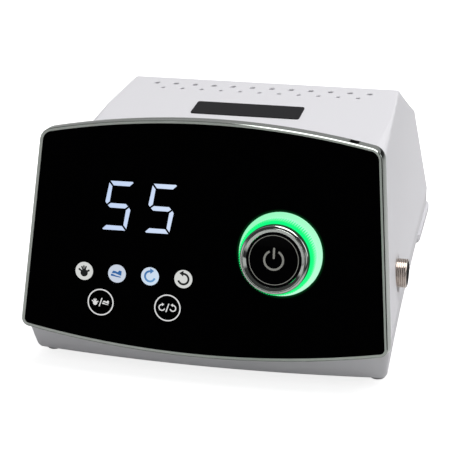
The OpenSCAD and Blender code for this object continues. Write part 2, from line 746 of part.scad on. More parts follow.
bevel = 1.2;
module knob_ring() color("silver") on_knob(knob_seat) rotate_extrude($fn = 96) {
    difference() {
        union() {
            translate([cap_r + slip, 0]) square([chrome_r - cap_r - slip, chrome_h - ring_round]);
            translate([chrome_r - ring_round, chrome_h - ring_round]) intersection() {
                circle(ring_round);
                square(ring_round);
            }
            translate([cap_r + slip, 0]) square([chrome_r - ring_round - cap_r - slip, chrome_h]);
        }
        translate([cap_r + slip - 0.01, chrome_h + 0.01])
            polygon([[0, 0], [bevel, 0], [0, -bevel]]);
    }
}

module knob_cap() color([0.03, 0.03, 0.03]) on_knob(knob_seat) {
    cylinder(r = cap_r, h = chrome_h - bevel);
    translate([0, 0, chrome_h - bevel]) cylinder(r1 = cap_r, r2 = cap_r - 0.5, h = 0.5);
}

/* Handpiece socket */

barrel_bore = barrel_r - 1.5;
socket_back = socket_wall + 7;
insert_face = socket_flange_t + barrel_out - 4.4;
module socket_shell() color("silver") on_side(socket_face_x) difference() {
    union() {
        cylinder(r = socket_flange_r, h = socket_flange_t);
        cylinder(r = barrel_r, h = socket_flange_t + barrel_out - 0.6);
        translate([0, 0, socket_flange_t + barrel_out - 0.6])
            cylinder(r1 = barrel_r, r2 = barrel_r - 0.6, h = 0.6);
        translate([0, 0, -socket_back]) cylinder(r = rear_thread_r, h = socket_back + overcut / 2);
    }
    translate([0, 0, -socket_back - overcut])
        cylinder(r = barrel_bore, h = socket_back + socket_flange_t + barrel_out + 2 * overcut);
}

contact_r = 1;
contact_circle = barrel_bore - 2.6;
module socket_insert() color([0.08, 0.08, 0.08]) on_side(socket_face_x) difference() {
    translate([0, 0, -socket_back]) cylinder(r = barrel_bore - slip / 2, h = socket_back + insert_face);
    for (i = [0:contact_count - 1]) rotate(360 * i / contact_count)
        translate([contact_circle, 0, -socket_back - overcut])
            cylinder(r = contact_r + slip / 2, h = socket_back + insert_face + 2 * overcut);
}

module socket_contacts() color("goldenrod") on_side(socket_face_x)
    for (i = [0:contact_count - 1]) rotate(360 * i / contact_count)
        translate([contact_circle, 0, -socket_back - 3])
            cylinder(r = contact_r, h = socket_back + insert_face + 6);

module socket_nut() color("silver") on_side(socket_face_x - socket_wall - 3) difference() {
    cylinder(r = barrel_r + 3.4, h = 3, $fn = 6);
    translate([0, 0, -overcut]) cylinder(r = rear_thread_r + slip / 2, h = 3 + 2 * overcut, $fn = 48);
}

/* Rear connections */

plate_holes = [for (x = [-1, 1], v = [-1, 1]) [x * (plate_w / 2 - ledge_w / 2), v * (plate_h / 2 - 4)]];
inlet_w = 27;
inlet_h = 29.5;
inlet_flange = 1.6;
switch_w = 13;
switch_h = 19;
jack_r = 4.8;

module rear_plate() color([0.12, 0.12, 0.12]) on_rear(0, 0, -plate_t) difference() {
    linear_extrude(plate_t) square([plate_w, plate_h] - 2 * [slip, slip], center = true);
    translate([inlet_x, 0, -overcut]) box(inlet_w + 2 * slip, inlet_h + 2 * slip, plate_t + 2 * overcut);
    translate([switch_x, 0, -overcut]) box(switch_w + 2 * slip, switch_h + 2 * slip, plate_t + 2 * overcut);
    translate([jack_x, 0, -overcut]) cylinder(r = jack_r + slip, h = plate_t + 2 * overcut);
    for (p = plate_holes) translate([p.x, p.y, -overcut])
        cylinder(r = screw_hole_r, h = plate_t + 2 * overcut);
}

module rear_plate_screws() color("silver") for (p = plate_holes)
    on_rear(p.x, p.y, 0) screw(plate_t + ledge_t - 0.5);

// Appliance inlet: socket cavity above, fuse drawer slot below
cavity_w = 24.2;
cavity_h = 16.4;
cavity_v = 5.2;
cavity_deep = 17;
inlet_deep = 24;
slot_w = 21;
slot_h = 7.6;
slot_v = -9.4;
flange_t = 2.2;
blade_places = [[-7, -2], [0, 2], [7, -2]];
blade_w = 2;
blade_h = 4;

module inlet_cavity() {
    w = cavity_w / 2;
    h = cavity_h / 2;
    corner = 4.5;
    polygon([[-w, -h], [w, -h], [w, h - corner], [w - corner, h], [corner - w, h], [-w, h - corner]]);
}

module mains_inlet() color([0.06, 0.06, 0.06]) on_rear(inlet_x, 0, 0) difference() {
    union() {
        translate([0, 0, -inlet_deep]) box(inlet_w, inlet_h, inlet_deep);
        linear_extrude(flange_t) rounded_plate(inlet_w + 2 * inlet_flange, inlet_h + 2 * inlet_flange, 2);
    }
    translate([0, cavity_v, flange_t - cavity_deep]) linear_extrude(cavity_deep + overcut) inlet_cavity();
    translate([0, slot_v, flange_t - drawer_l]) box(slot_w, slot_h, drawer_l + overcut);
    for (p = blade_places) translate([p.x, cavity_v + p.y, -inlet_deep - overcut])
        box(blade_w + slip, blade_h + slip, inlet_deep + 2 * overcut);
}

module inlet_pins() color("silver") for (p = blade_places)
    on_rear(inlet_x + p.x, cavity_v + p.y, -inlet_deep - 6) box(blade_w, blade_h, inlet_deep + 3);

drawer_l = 22.6;
drawer_gap = 0.3;
fuse_r = 2.5;
fuse_l = 20;
module fuse_drawer() color([0.1, 0.1, 0.1]) on_rear(inlet_x, slot_v, 0) difference() {
    union() {
        translate([0, 0, flange_t + drawer_gap - drawer_l + 0.4])
            box(slot_w - 2 * drawer_gap, slot_h - 2 * drawer_gap, drawer_l - 0.4);
        translate([0, 0, flange_t + drawer_gap]) box(slot_w + 3, slot_h + 0.8, 1.4);
    }
    translate([0, 0, flange_t - fuse_l - 0.6]) cylinder(r = fuse_r + slip, h = fuse_l + 2 * slip);
    translate([0, slot_h / 2, flange_t - fuse_l - 0.6]) box(2 * fuse_r + 2 * slip, slot_h, fuse_l + 2 * slip);
}

module fuse() color("gold")
    on_rear(inlet_x, slot_v, flange_t - fuse_l - 0.6 + slip) cylinder(r = fuse_r, h = fuse_l);

rocker_w = 9.6;
rocker_h = 14.4;
rocker_rise = 5.2;
rocker_pivot = -1.6;
pivot_r = 1.6;
rocker_swept = rocker_h / 2 * cos(rocker_swing) + rocker_rise * sin(rocker_swing);
module switch_frame() color([0.06, 0.06, 0.06]) on_rear(switch_x, 0, 0) difference() {
    union() {
        translate([0, 0, -14]) box(switch_w, switch_h, 14);
        linear_extrude(1.8) rounded_plate(switch_w + 2.4, switch_h + 2.4, 1.2);
    }
    translate([0, 0, -8]) box(rocker_w + 2 * moving_gap, 2 * rocker_swept + 2 * moving_gap, 20);
    translate([-rocker_w / 2 - 1.2, 0, rocker_pivot]) rotate([0, 90, 0])
        cylinder(r = pivot_r + running, h = rocker_w + 2.4);
}

// Rocker: a shallow vee that tips about its pivot pin; it lies in its on position
module switch_rocker() color("firebrick") on_rear(switch_x, 0, rocker_pivot) rotate([rocker_swing, 0, 0]) {
    h = rocker_h / 2;
    dip = rocker_rise - h * tan(rocker_swing);
    rotate([90, 0, 90]) translate([0, 0, -rocker_w / 2]) linear_extrude(rocker_w) polygon([
        [-h, rocker_rise], [0, dip], [h, rocker_rise], [h, 2], [2.4, -3], [-2.4, -3], [-h, 2]]);
    rotate([0, 90, 0]) translate([0, 0, -rocker_w / 2 - 1]) cylinder(r = pivot_r, h = rocker_w + 2);
}

jack_out = 4.2;
jack_deep = 20;
module foot_jack() color([0.1, 0.1, 0.1]) on_rear(jack_x, 0, 0) difference() {
    union() {
        translate([0, 0, -plate_t - jack_deep]) box(15, 17, jack_deep);
        translate([0, 0, -plate_t - overcut]) cylinder(r = jack_r, h = plate_t + jack_out + overcut);
    }
    translate([0, 0, -plate_t - jack_deep + 2]) cylinder(r = jack_bore_r, h = jack_deep + plate_t + jack_out);
}

module foot_jack_nut() color("silver") on_rear(jack_x, 0, 0) difference() {
    cylinder(r = jack_r + 3, h = 2.4, $fn = 6);
    translate([0, 0, -overcut]) cylinder(r = jack_r + slip / 2, h = 2.4 + 2 * overcut, $fn = 48);
}

/* Inside */

deck_h = floor_h + post_h;
board_top = deck_h + board_t;
module main_board() color("darkgreen") placed() difference() {
    translate([board_x, board_y, deck_h]) box(main_w, main_l, board_t);
    for (p = main_posts) translate([p.x, p.y, deck_h - overcut])
        cylinder(r = screw_hole_r, h = board_t + 2 * overcut);
}

module main_board_screws() color("silver") for (p = main_posts)
    placed() translate([p.x, p.y, board_top]) screw(board_t + post_h - 1);

// Laminated core on two mounting tabs; the winding wraps the middle limb
core_base = floor_h + 2;
tab_t = 2;
limb = core_w / 6;
module transformer_core() color("slategray") placed() translate([core_x, core_y, core_base]) difference() {
    union() {
        box(core_w, core_l, core_h);
        box(core_w + 20, core_l * 0.6, tab_t);
    }
    for (s = [-1, 1]) translate([s * limb * 1.5, 0, limb]) box(limb, core_l + 2 * overcut, core_h - 2 * limb);
    for (s = [-1, 1]) translate([s * (core_w / 2 + 5), 0, -overcut])
        cylinder(r = screw_hole_r, h = tab_t + 2 * overcut);
}

coil_gap = 0.3;
coil_out = 8;
module transformer_coil() color("peru") placed()
translate([core_x, core_y, core_base + limb + coil_gap]) difference() {
    box(4 * limb - 2 * coil_gap, core_l + 2 * coil_out, core_h - 2 * limb - 2 * coil_gap);
    translate([0, 0, -overcut]) box(2 * limb + 2 * coil_gap, core_l + 2 * coil_gap, core_h);
}

module transformer_screws() color("silver") for (p = core_holes)
    placed() translate([p.x, p.y, core_base + tab_t]) screw(tab_t + 3);

sink_w = 44;
sink_l = 26;
sink_h = 30;
sink_base = 5;
sink_x = board_x + main_w / 2 - 31;
sink_y = board_y + main_l / 2 - 20;
module heat_sink() color("darkgray") placed() translate([sink_x, sink_y, board_top]) {
    pitch = (sink_w - 2) / (fin_count - 1);
    translate([0, sink_base / 2 - sink_l / 2, 0]) box(sink_w, sink_base, sink_h);
    for (i = [0:fin_count - 1])
        translate([(i - (fin_count - 1) / 2) * pitch, sink_base / 2, 0]) box(2, sink_l - sink_base, sink_h);
}

module power_transistors() color([0.1, 0.1, 0.1]) for (s = [-1, 1])
    placed() translate([sink_x + s * 11, sink_y - sink_l / 2 - 2.2, board_top]) box(10, 4.4, 18);

can_r = 8.5;
can_h = 26;
can_edge = 0.8;
can_pitch = 22;
module filter_capacitors() color("steelblue") for (i = [0:2])
    placed() translate([board_x - main_w / 2 + 19 + can_pitch * i, board_y - can_r + 0.5, board_top]) {
        cylinder(r = can_r, h = can_h);
        translate([0, 0, can_h]) cylinder(r1 = can_r, r2 = can_r - can_edge, h = can_edge);
    }

// Flat cable between the boards, drawn as a strip along a bent path
ribbon_w = 26;
ribbon_t = 1;
function away(d) = [d * cos(panel_tilt), -d * sin(panel_tilt)];
function glass_point(v, n) = [0, panel_height] + v * [sin(panel_tilt), cos(panel_tilt)] - away(n);
module display_ribbon() color("lightgray") placed() {
    start = glass_point(panel_board_v - panel_board_h / 2 + 17.5, -board_back);
    end = [board_y - main_l / 2 + 9, board_top];
    path = [start, start + away(9), end + [0, 9], end];
    last = len(path) - 1;
    sides = [for (i = [0:last])
        let (d = path[min(last, i + 1)] - path[max(0, i - 1)])
        [-d.y, d.x] / norm(d) * ribbon_t / 2];
    ring = concat([for (i = [0:last]) path[i] + sides[i]], [for (i = [last:-1:0]) path[i] - sides[i]]);
    rotate([90, 0, 90]) translate([0, 0, -ribbon_w / 2]) linear_extrude(ribbon_w) polygon(ring);
}

upper_shell();
base_tray();
front_bezel();
front_panel();
badge_plate();
panel_frame();
front_foot_left();
front_foot_right();
rear_pad_left();
rear_pad_right();
case_screws();
display_board();
board_screws();
tens_digit();
units_digit();
tens_segments();
units_segments();
hand_lens();
pedal_lens();
forward_lens();
reverse_lens();
indicator_leds();
mode_key_pad();
direction_key_pad();
light_ring();
ring_leds();
encoder_body();
switch_plunger();
encoder_shaft();
knob_body();
knob_ring();
knob_cap();
socket_shell();
socket_insert();
socket_contacts();
socket_nut();
rear_plate();
rear_plate_screws();
mains_inlet();
inlet_pins();
fuse_drawer();
fuse();
switch_frame();
switch_rocker();
foot_jack();
foot_jack_nut();
main_board();
main_board_screws();
transformer_core();
transformer_coil();
transformer_screws();
heat_sink();
power_transistors();
filter_capacitors();
display_ribbon();
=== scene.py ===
import logging
import math
from dataclasses import dataclass
from enum import Enum

import bmesh
import bpy
import numpy as np
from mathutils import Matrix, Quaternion, Vector


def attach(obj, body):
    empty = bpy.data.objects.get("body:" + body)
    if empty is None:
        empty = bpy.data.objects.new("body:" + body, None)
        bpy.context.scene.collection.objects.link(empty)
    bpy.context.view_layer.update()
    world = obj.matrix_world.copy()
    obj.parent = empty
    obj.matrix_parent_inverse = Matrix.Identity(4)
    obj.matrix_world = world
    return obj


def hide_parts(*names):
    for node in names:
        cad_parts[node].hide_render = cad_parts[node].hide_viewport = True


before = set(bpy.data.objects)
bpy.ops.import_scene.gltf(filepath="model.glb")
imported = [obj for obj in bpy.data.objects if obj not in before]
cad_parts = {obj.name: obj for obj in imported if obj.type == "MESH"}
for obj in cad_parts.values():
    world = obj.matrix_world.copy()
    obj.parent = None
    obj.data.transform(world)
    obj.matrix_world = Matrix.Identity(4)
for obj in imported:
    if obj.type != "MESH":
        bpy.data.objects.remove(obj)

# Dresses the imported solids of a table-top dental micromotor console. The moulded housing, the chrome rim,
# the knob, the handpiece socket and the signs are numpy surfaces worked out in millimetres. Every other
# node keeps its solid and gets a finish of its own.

Tree = bpy.types.NodeTree
Plug = bpy.types.NodeSocket
Point = tuple[float, float, float]

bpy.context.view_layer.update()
LOG = logging.getLogger("console")
MM = 0.001
# How far the glass centre lies in front of the shared frame's origin
FRONT_DEPTH = 109.43726


class Body(Enum):
    """The moving bodies that a piece can ride on."""

    CONSOLE = "console"
    KNOB = "knob"
    ROCKER = "rocker"


class Pattern(Enum):
    """How a finish varies over its surface."""

    GRAIN = "grain"
    BRUSH = "brush"
    BANDS = "bands"
    TRACKS = "tracks"


class Axis(Enum):
    """The direction along which a pattern's bands follow each other."""

    X = "X"
    Y = "Y"
    Z = "Z"


def linear(code: str) -> tuple[float, float, float, float]:
    """Turns an sRGB hex colour into a linear one.

    Args:
        code: the colour as #rrggbb.

    Returns:
        Red, green, blue and alpha.
    """
    levels = np.array([int(code[i:i + 2], 16) for i in (1, 3, 5)]) / 255
    bright = np.where(levels <= 0.04045, levels / 12.92, ((levels + 0.055) / 1.055) ** 2.4)
    return (*bright.tolist(), 1.0)


def empty_tree(owner: bpy.types.Material | bpy.types.World) -> Tree:
    """Empties the node tree of a material or world.

    Args:
        owner: the material or world.

    Returns:
        The tree.
    """
    owner.use_nodes = True
    owner.node_tree.nodes.clear()
    return owner.node_tree


def add_node(tree: Tree, kind: str, inputs: dict | None = None, **settings: object) -> bpy.types.Node:
    """Adds a node with its settings, values and links.

    Args:
        tree: the node tree that gets the node.
        kind: the node's type name.
        inputs: value or output socket for each input, by name or number.
        **settings: properties of the node.

    Returns:
        The new node.
    """
    node = tree.nodes.new(kind)
    for name, value in settings.items():
        setattr(node, name, value)
    for key, value in (inputs or {}).items():
        if isinstance(value, Plug):
            tree.links.new(value, node.inputs[key])
        else:
            node.inputs[key].default_value = value
    return node


@dataclass(frozen=True)
class Finish:
    """A material whose colour, gloss and relief follow one pattern.

    tint and shade are its colours where the pattern is high and low, and rough its roughness where it is
    low and high. size_mm is the pattern's spacing, stretch its scale along x, y and z, and axis the
    direction of bands. gloss is the specular level and clear the weight of a clear coat.
    """

    name: str
    tint: str
    shade: str
    rough: tuple[float, float]
    size_mm: float
    metal: float = 0.0
    relief_mm: float = 0.0
    pattern: Pattern = Pattern.GRAIN
    stretch: Point = (1.0, 1.0, 1.0)
    axis: Axis = Axis.X
    gloss: float = 0.5
    clear: float = 0.0

    def texture(self, tree: Tree, where: Plug) -> Plug:
        """Makes the pattern.

        Args:
            tree: the material's node tree.
            where: object coordinates in metres.

        Returns:
            The socket with the pattern's level from 0 to 1.
        """
        spacing = self.size_mm * MM
        if self.pattern is Pattern.BANDS:
            # A band texture of scale 1 repeats every 2 pi / 20 of a unit
            bands = {"Vector": where, "Scale": math.pi / 10 / spacing, "Distortion": 0.4, "Detail": 1.0}
            return add_node(tree, "ShaderNodeTexWave", bands, bands_direction=self.axis.value).outputs["Fac"]
        if self.pattern is Pattern.TRACKS:
            # A brick texture of scale 1 has a row every quarter of a unit
            bricks = {"Vector": where, "Scale": 0.25 / spacing, "Color1": (1, 1, 1, 1),
                      "Color2": (0.6, 0.6, 0.6, 1), "Mortar": (0, 0, 0, 1), "Mortar Size": 0.04,
                      "Brick Width": 1.4}
            return add_node(tree, "ShaderNodeTexBrick", bricks).outputs["Color"]
        if self.pattern is Pattern.BRUSH:
            drawn = {"Vector": where, "Scale": self.stretch}
            where = add_node(tree, "ShaderNodeMapping", drawn).outputs["Vector"]
        grain = {"Vector": where, "Scale": 1 / spacing, "Detail": 3.0}
        return add_node(tree, "ShaderNodeTexNoise", grain).outputs["Fac"]

    def surface(self, tree: Tree, where: Plug) -> bpy.types.Node:
        """Makes the shader.

        Args:
            tree: the material's node tree.
            where: object coordinates in metres.

        Returns:
            The principled shader node.
        """
        level = self.texture(tree, where)
        colour = add_node(tree, "ShaderNodeMix", {0: level, 6: linear(self.shade), 7: linear(self.tint)},
                          data_type="RGBA")
        low, high = self.rough
        rough = add_node(tree, "ShaderNodeMapRange", {"Value": level, "To Min": low, "To Max": high})
        shader = add_node(tree, "ShaderNodeBsdfPrincipled", {
            "Base Color": colour.outputs[2], "Metallic": self.metal, "Roughness": rough.outputs["Result"],
            "Specular IOR Level": self.gloss, "Coat Weight": self.clear, "Coat Roughness": 0.05})
        if self.relief_mm:
            relief = {"Height": level, "Distance": self.relief_mm * MM, "Strength": 0.6}
            bump = add_node(tree, "ShaderNodeBump", relief)
            tree.links.new(bump.outputs["Normal"], shader.inputs["Normal"])
        return shader

    def material(self) -> bpy.types.Material:
        """Makes the material on first use.

        Returns:
            The material.
        """
        made = bpy.data.materials.get(self.name)
        if made is None:
            made = bpy.data.materials.new(self.name)
            tree = empty_tree(made)
            where = add_node(tree, "ShaderNodeTexCoord").outputs["Object"]
            add_node(tree, "ShaderNodeOutputMaterial", {"Surface": self.surface(tree, where).outputs[0]})
        return made


@dataclass(frozen=True)
class Lit(Finish):
    """A finish that glows in one colour, near, or in a colour between near and far.

    The share of far is the mesh attribute that is named, or else grows along the direction: from nothing at
    start_mm to all of it span_mm further on.
    """

    near: str = "#ffffff"
    far: str = ""
    strength: float = 1.0
    direction: Point = (1.0, 0.0, 0.0)
    start_mm: float = 0.0
    span_mm: float = 1.0
    attribute: str = ""

    def surface(self, tree: Tree, where: Plug) -> bpy.types.Node:
        """Adds the glow to the plain shader.

        Args:
            tree: the material's node tree.
            where: object coordinates in metres.

        Returns:
            The principled shader node.
        """
        shader = super().surface(tree, where)
        shader.inputs["Emission Color"].default_value = linear(self.near)
        shader.inputs["Emission Strength"].default_value = self.strength
        if not self.far:
            return shader
        if self.attribute:
            share = add_node(tree, "ShaderNodeAttribute", attribute_name=self.attribute).outputs["Fac"]
        else:
            along = add_node(tree, "ShaderNodeVectorMath", {0: where, 1: self.direction},
                             operation="DOT_PRODUCT")
            reach = {"Value": along.outputs["Value"], "From Min": self.start_mm * MM,
                     "From Max": (self.start_mm + self.span_mm) * MM}
            share = add_node(tree, "ShaderNodeMapRange", reach).outputs["Result"]
        glow = add_node(tree, "ShaderNodeMix", {0: share, 6: linear(self.near), 7: linear(self.far)},
                        data_type="RGBA")
        tree.links.new(glow.outputs[2], shader.inputs["Emission Color"])
        return shader


@dataclass(frozen=True)
class EdgeLit(Finish):
    """Dark glass that takes up a little light round a lit opening."""

    centre_mm: Point = (0.0, 0.0, 0.0)
    opening_mm: float = 1.0
    reach_mm: float = 1.0
    glow: str = "#00ff80"
    strength: float = 0.03

    def surface(self, tree: Tree, where: Plug) -> bpy.types.Node:
        """Adds the light in the glass, falling off with the distance from the opening's edge.

        Args:
            tree: the material's node tree.
            where: object coordinates in metres.

        Returns:
            The principled shader node.
        """
        shader = super().surface(tree, where)
        centre = tuple(value * MM for value in self.centre_mm)
        away = add_node(tree, "ShaderNodeVectorMath", {0: where, 1: centre}, operation="DISTANCE")
        reach = {"Value": away.outputs["Value"], "From Min": self.opening_mm * MM,
                 "From Max": (self.opening_mm + self.reach_mm) * MM, "To Min": self.strength, "To Max": 0.0}
        fall = add_node(tree, "ShaderNodeMapRange", reach, interpolation_type="SMOOTHERSTEP")
        shader.inputs["Emission Color"].default_value = linear(self.glow)
        tree.links.new(fall.outputs["Result"], shader.inputs["Emission Strength"])
        return shader


@dataclass(frozen=True)
class Placement:
    """A local frame in millimetres: an origin and the directions right, up and out."""

    origin: Point = (0.0, 0.0, 0.0)
    right: Point = (1.0, 0.0, 0.0)
    up: Point = (0.0, 1.0, 0.0)
    out: Point = (0.0, 0.0, 1.0)

    def axes(self) -> np.ndarray:
        """Returns the three directions as rows."""
        return np.array([self.right, self.up, self.out])

    def spot(self, x: float, v: float, n: float = 0.0) -> Point:
        """Returns a local point in the shared frame, in millimetres."""
        return tuple((np.array([x, v, n]) @ self.axes() + self.origin).tolist())

    def moved(self, x: float, v: float, n: float = 0.0) -> "Placement":
        """Returns the frame moved along its own axes."""
        return Placement(self.spot(x, v, n), self.right, self.up, self.out)

    def tipped(self, angle: float) -> "Placement":
        """Turns the frame about its right axis.

        Args:
            angle: degrees from up towards out.

        Returns:
            The turned frame.
        """
        s, c = math.sin(math.radians(angle)), math.cos(math.radians(angle))
        up, out = np.array(self.up), np.array(self.out)
        return Placement(self.origin, self.right, tuple(c * up + s * out), tuple(c * out - s * up))

    def metres(self, points: np.ndarray) -> np.ndarray:
        """Returns local points in the shared frame, in metres."""
        return (points @ self.axes() + np.array(self.origin)) * MM

    def local(self, points: np.ndarray) -> np.ndarray:
        """Returns points of the shared frame, in metres, as local ones in millimetres."""
        return (points / MM - np.array(self.origin)) @ self.axes().T


# Right, back and up from the point on the floor below the glass centre
DEPTHS = Placement((0.0, -FRONT_DEPTH, 0.0))


def turn_angles(steps: int) -> np.ndarray:
    """Returns the angles of a full turn in equal steps, in radians."""
    return np.linspace(0, 2 * np.pi, steps, endpoint=False)


def arc(x: float, y: float, r: float, start: float, end: float, steps: int) -> np.ndarray:
    """Returns points along a circle's arc between two angles in degrees."""
    a = np.radians(np.linspace(start, end, steps))
    return np.stack([x + r * np.cos(a), y + r * np.sin(a)], axis=-1)


def rectangle(x0: float, y0: float, x1: float, y1: float) -> np.ndarray:
    """Returns the outline of a rectangle between two opposite corners."""
    return np.array([[x0, y0], [x1, y0], [x1, y1], [x0, y1]])


def rounded(w: float, h: float, r: float) -> np.ndarray:
    """Draws a rectangle with round corners about its centre.

    Args:
        w: its width.
        h: its height.
        r: the corners' radius.

    Returns:
        The outline.
    """
    quarters = [arc(sx * (w / 2 - r), sy * (h / 2 - r), r, start, start + 90, 8)
                for sx, sy, start in ((1, 1, 0), (-1, 1, 90), (-1, -1, 180), (1, -1, 270))]
    return np.concatenate(quarters)


def lifted(outline: np.ndarray, height: float) -> np.ndarray:
    """Returns a flat outline at a height."""
    return np.column_stack([outline, np.full(len(outline), height)])


class Skin:
    """Gathers patches of points into one mesh. Each patch is drawn in the frame that place then holds."""

    def __init__(self, place: Placement) -> None:
        """Starts an empty mesh.

        Args:
            place: the local frame of the first patch.
        """
        self.place = place
        self.points: list[np.ndarray] = []
        self.faces: list[list[int]] = []
        self.count = 0

    def take(self, points: np.ndarray) -> int:
        """Adds points.

        Args:
            points: local points, by 3.

        Returns:
            The number of the first one.
        """
        first = self.count
        self.points.append(self.place.metres(points.reshape(-1, 3)))
        self.count += points.size // 3
        return first

    def tube(self, points: np.ndarray, closed: bool = False) -> "Skin":
        """Adds quads between rings of points.

        Args:
            points: rings by points by 3.
            closed: joins the last ring to the first.

        Returns:
            The skin itself.
        """
        rings, steps = points.shape[:2]
        first = self.take(points)
        i, j = np.meshgrid(np.arange(rings - (not closed)), np.arange(steps), indexing="ij")
        row, next_row, j_next = i * steps, (i + 1) % rings * steps, (j + 1) % steps
        quads = np.stack([row + j, row + j_next, next_row + j_next, next_row + j], axis=-1)
        self.faces += (quads.reshape(-1, 4) + first).tolist()
        return self

    def cap(self, loop: np.ndarray) -> None:
        """Adds one flat face."""
        first = self.take(loop)
        self.faces.append(list(range(first, first + len(loop))))

    def prism(self, outline: np.ndarray, low: float, high: float) -> "Skin":
        """Adds a flat outline drawn up and closed at both ends.

        Args:
            outline: the outline's points.
            low: height of the lower end.
            high: height of the upper end.

        Returns:
            The skin itself.
        """
        sides = np.stack([lifted(outline, low), lifted(outline, high)])
        self.tube(sides)
        self.cap(sides[0])
        self.cap(sides[1])
        return self

    def turned(self, profile: np.ndarray, steps: int, closed: bool = False,
               dip: np.ndarray | float = 0.0) -> "Skin":
        """Adds a profile turned about the out axis.

        Args:
            profile: rows of radius and height.
            steps: steps in the full turn.
            closed: joins the profile's end to its start.
            dip: what is taken off the radius, rows by steps.

        Returns:
            The skin itself.
        """
        a = turn_angles(steps)
        r, h = profile[:, :1] - dip, profile[:, 1:]
        return self.tube(np.stack([r * np.cos(a), r * np.sin(a), h + 0 * a], axis=-1), closed)

    def solid(self, name: str) -> bpy.types.Object:
        """Makes the mesh, with shared points joined and faces turned outwards.

        Args:
            name: the name of the mesh and its object.

        Returns:
            The object, linked to the scene.
        """
        mesh = bpy.data.meshes.new(name)
        mesh.from_pydata(np.concatenate(self.points), [], self.faces)
        work = bmesh.new()
        work.from_mesh(mesh)
        bmesh.ops.remove_doubles(work, verts=work.verts, dist=1e-6)
        bmesh.ops.recalc_face_normals(work, faces=work.faces)
        work.to_mesh(mesh)
        work.free()
        made = bpy.data.objects.new(name, mesh)
        bpy.context.scene.collection.objects.link(made)
        return made


def carve(made: bpy.types.Object, cutter: bpy.types.Object) -> None:
    """Cuts one object's solids out of another and removes the cutter.

    Args:
        made: the object that is cut.
        cutter: the solids to cut away.
    """
    cut = made.modifiers.new("cut", "BOOLEAN")
    cut.object, cut.solver = cutter, "EXACT"
    bpy.context.view_layer.update()
    graph = bpy.context.evaluated_depsgraph_get()
    before = made.data
    after = bpy.data.meshes.new_from_object(made.evaluated_get(graph))
    made.modifiers.clear()
    made.data = after
    after.name = made.name
    bpy.data.meshes.remove(before)
    bpy.data.objects.remove(cutter)


def dress(made: bpy.types.Object, finish: Finish, body: Body = Body.CONSOLE,
          nodes: tuple[str, ...] = (), sharp: float = 35.0) -> None:
    """Shades a piece, gives it its finish and ties it to the frame.

    Args:
        made: the piece.
        finish: its finish.
        body: the body it rides on.
        nodes: the nodes it stands in for.
        sharp: the edge angle in degrees above which shading breaks.
    """
    made.data.shade_smooth()
    made.data.set_sharp_from_angle(angle=math.radians(sharp))
    made.data.materials.clear()
    made.data.materials.append(finish.material())
    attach(made, body.value)
    if nodes:
        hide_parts(*nodes)
    LOG.info("%s made with %d faces", made.name, len(made.data.polygons))


def faces_in(made: bpy.types.Object, place: Placement) -> tuple[np.ndarray, np.ndarray]:
    """Reads a piece's faces in a local frame.

    Args:
        made: the piece.
        place: the frame.

    Returns:
        The faces' centres in millimetres and their normals.
    """
    data = np.empty((2, 3 * len(made.data.polygons)), np.float32)
    made.data.polygons.foreach_get("center", data[0])
    made.data.polygons.foreach_get("normal", data[1])
    centres, normals = data.reshape(2, -1, 3)
    return place.local(centres), normals @ place.axes().T


def mask(made: bpy.types.Object, choice: np.ndarray, *finishes: Finish) -> None:
    """Gives some faces other finishes.

    Args:
        made: the piece.
        choice: 0 for each face that keeps the piece's own finish, or the number of another one.
        *finishes: the other finishes, numbered from 1.
    """
    for finish in finishes:
        made.data.materials.append(finish.material())
    made.data.polygons.foreach_set("material_index", choice.astype(np.int32))


# Housing: ABS moulded in a spark-eroded tool, which gives a soft even sheen; grain 0.25 mm
ABS_WHITE = Finish("white moulded ABS", "#e2e1e5", "#dedde1", (0.42, 0.5), 0.25, relief_mm=0.004, gloss=0.4)
# Tray: the same ABS from a coarser tool, a little duller, and tinted a little darker as painted shade so that
# its lit legs don't read brighter than the side; grain 0.4 mm
SHADED_TRAY_ABS = Finish("white textured ABS", "#d9d8dc", "#d4d3d7", (0.45, 0.54), 0.4, relief_mm=0.006)
# Knob ring: bright chrome on ABS, a mirror with a trace of orange peel 6 mm across
CHROME = Finish("bright chrome plating", "#d6dbd6", "#d0d5d0", (0.07, 0.1), 6.0, metal=1.0)
# Rim: darker chrome on ABS, a greenish grey mirror; orange peel 6 mm across
RIM = Finish("dark chrome plating", "#b8beb8", "#b2b8b2", (0.06, 0.09), 6.0, metal=1.0)
# Rim's sloping face: satin chrome, which blurs what it reflects; mottle 4 mm
SATIN = Finish("satin chrome plating", "#cbd0ca", "#c5cac4", (0.5, 0.6), 4.0, metal=0.4)
# Badge: sprayed satin lacquer, dark and even; fleck 0.6 mm, coarser than real so that it shows
BADGE = Finish("grey satin lacquer", "#242326", "#1f1e21", (0.36, 0.46), 0.6, relief_mm=0.004, gloss=0.06)
# Inner mouldings: black ABS with a matt grain of 0.5 mm; the same finish is painted shade in the rim's pry
# notch, the socket's bore and below the knob's chrome band
BLACK_ABS_AND_SHADE = Finish("black moulded ABS and painted shade", "#1b1b1d", "#141416", (0.42, 0.55), 0.5, relief_mm=0.01)
# Knob cap: polished acrylic, a deep clear black with faint waves 3 mm across
BLACK_CAP = Finish("polished black acrylic", "#040405", "#020203", (0.05, 0.08), 3.0, gloss=0.06)
# Rear plate: baked powder coat, whose 0.8 mm orange peel breaks up highlights
POWDER = Finish("black powder coat", "#222224", "#19191b", (0.5, 0.62), 0.8, relief_mm=0.03)
# Feet: moulded rubber, dull and pale; grain 0.6 mm
RUBBER = Finish("pale grey moulded rubber", "#c4c3c4", "#b6b5b6", (0.75, 0.9), 0.6, relief_mm=0.02)
# Screws and shaft: drawn steel, zinc-plated, with a streaky sheen; marks 0.3 mm apart
STEEL = Finish("zinc-plated steel", "#c2c4c6", "#a9abad", (0.22, 0.34), 0.3, metal=1.0, pattern=Pattern.BRUSH,
               stretch=(1.0, 1.0, 0.15))
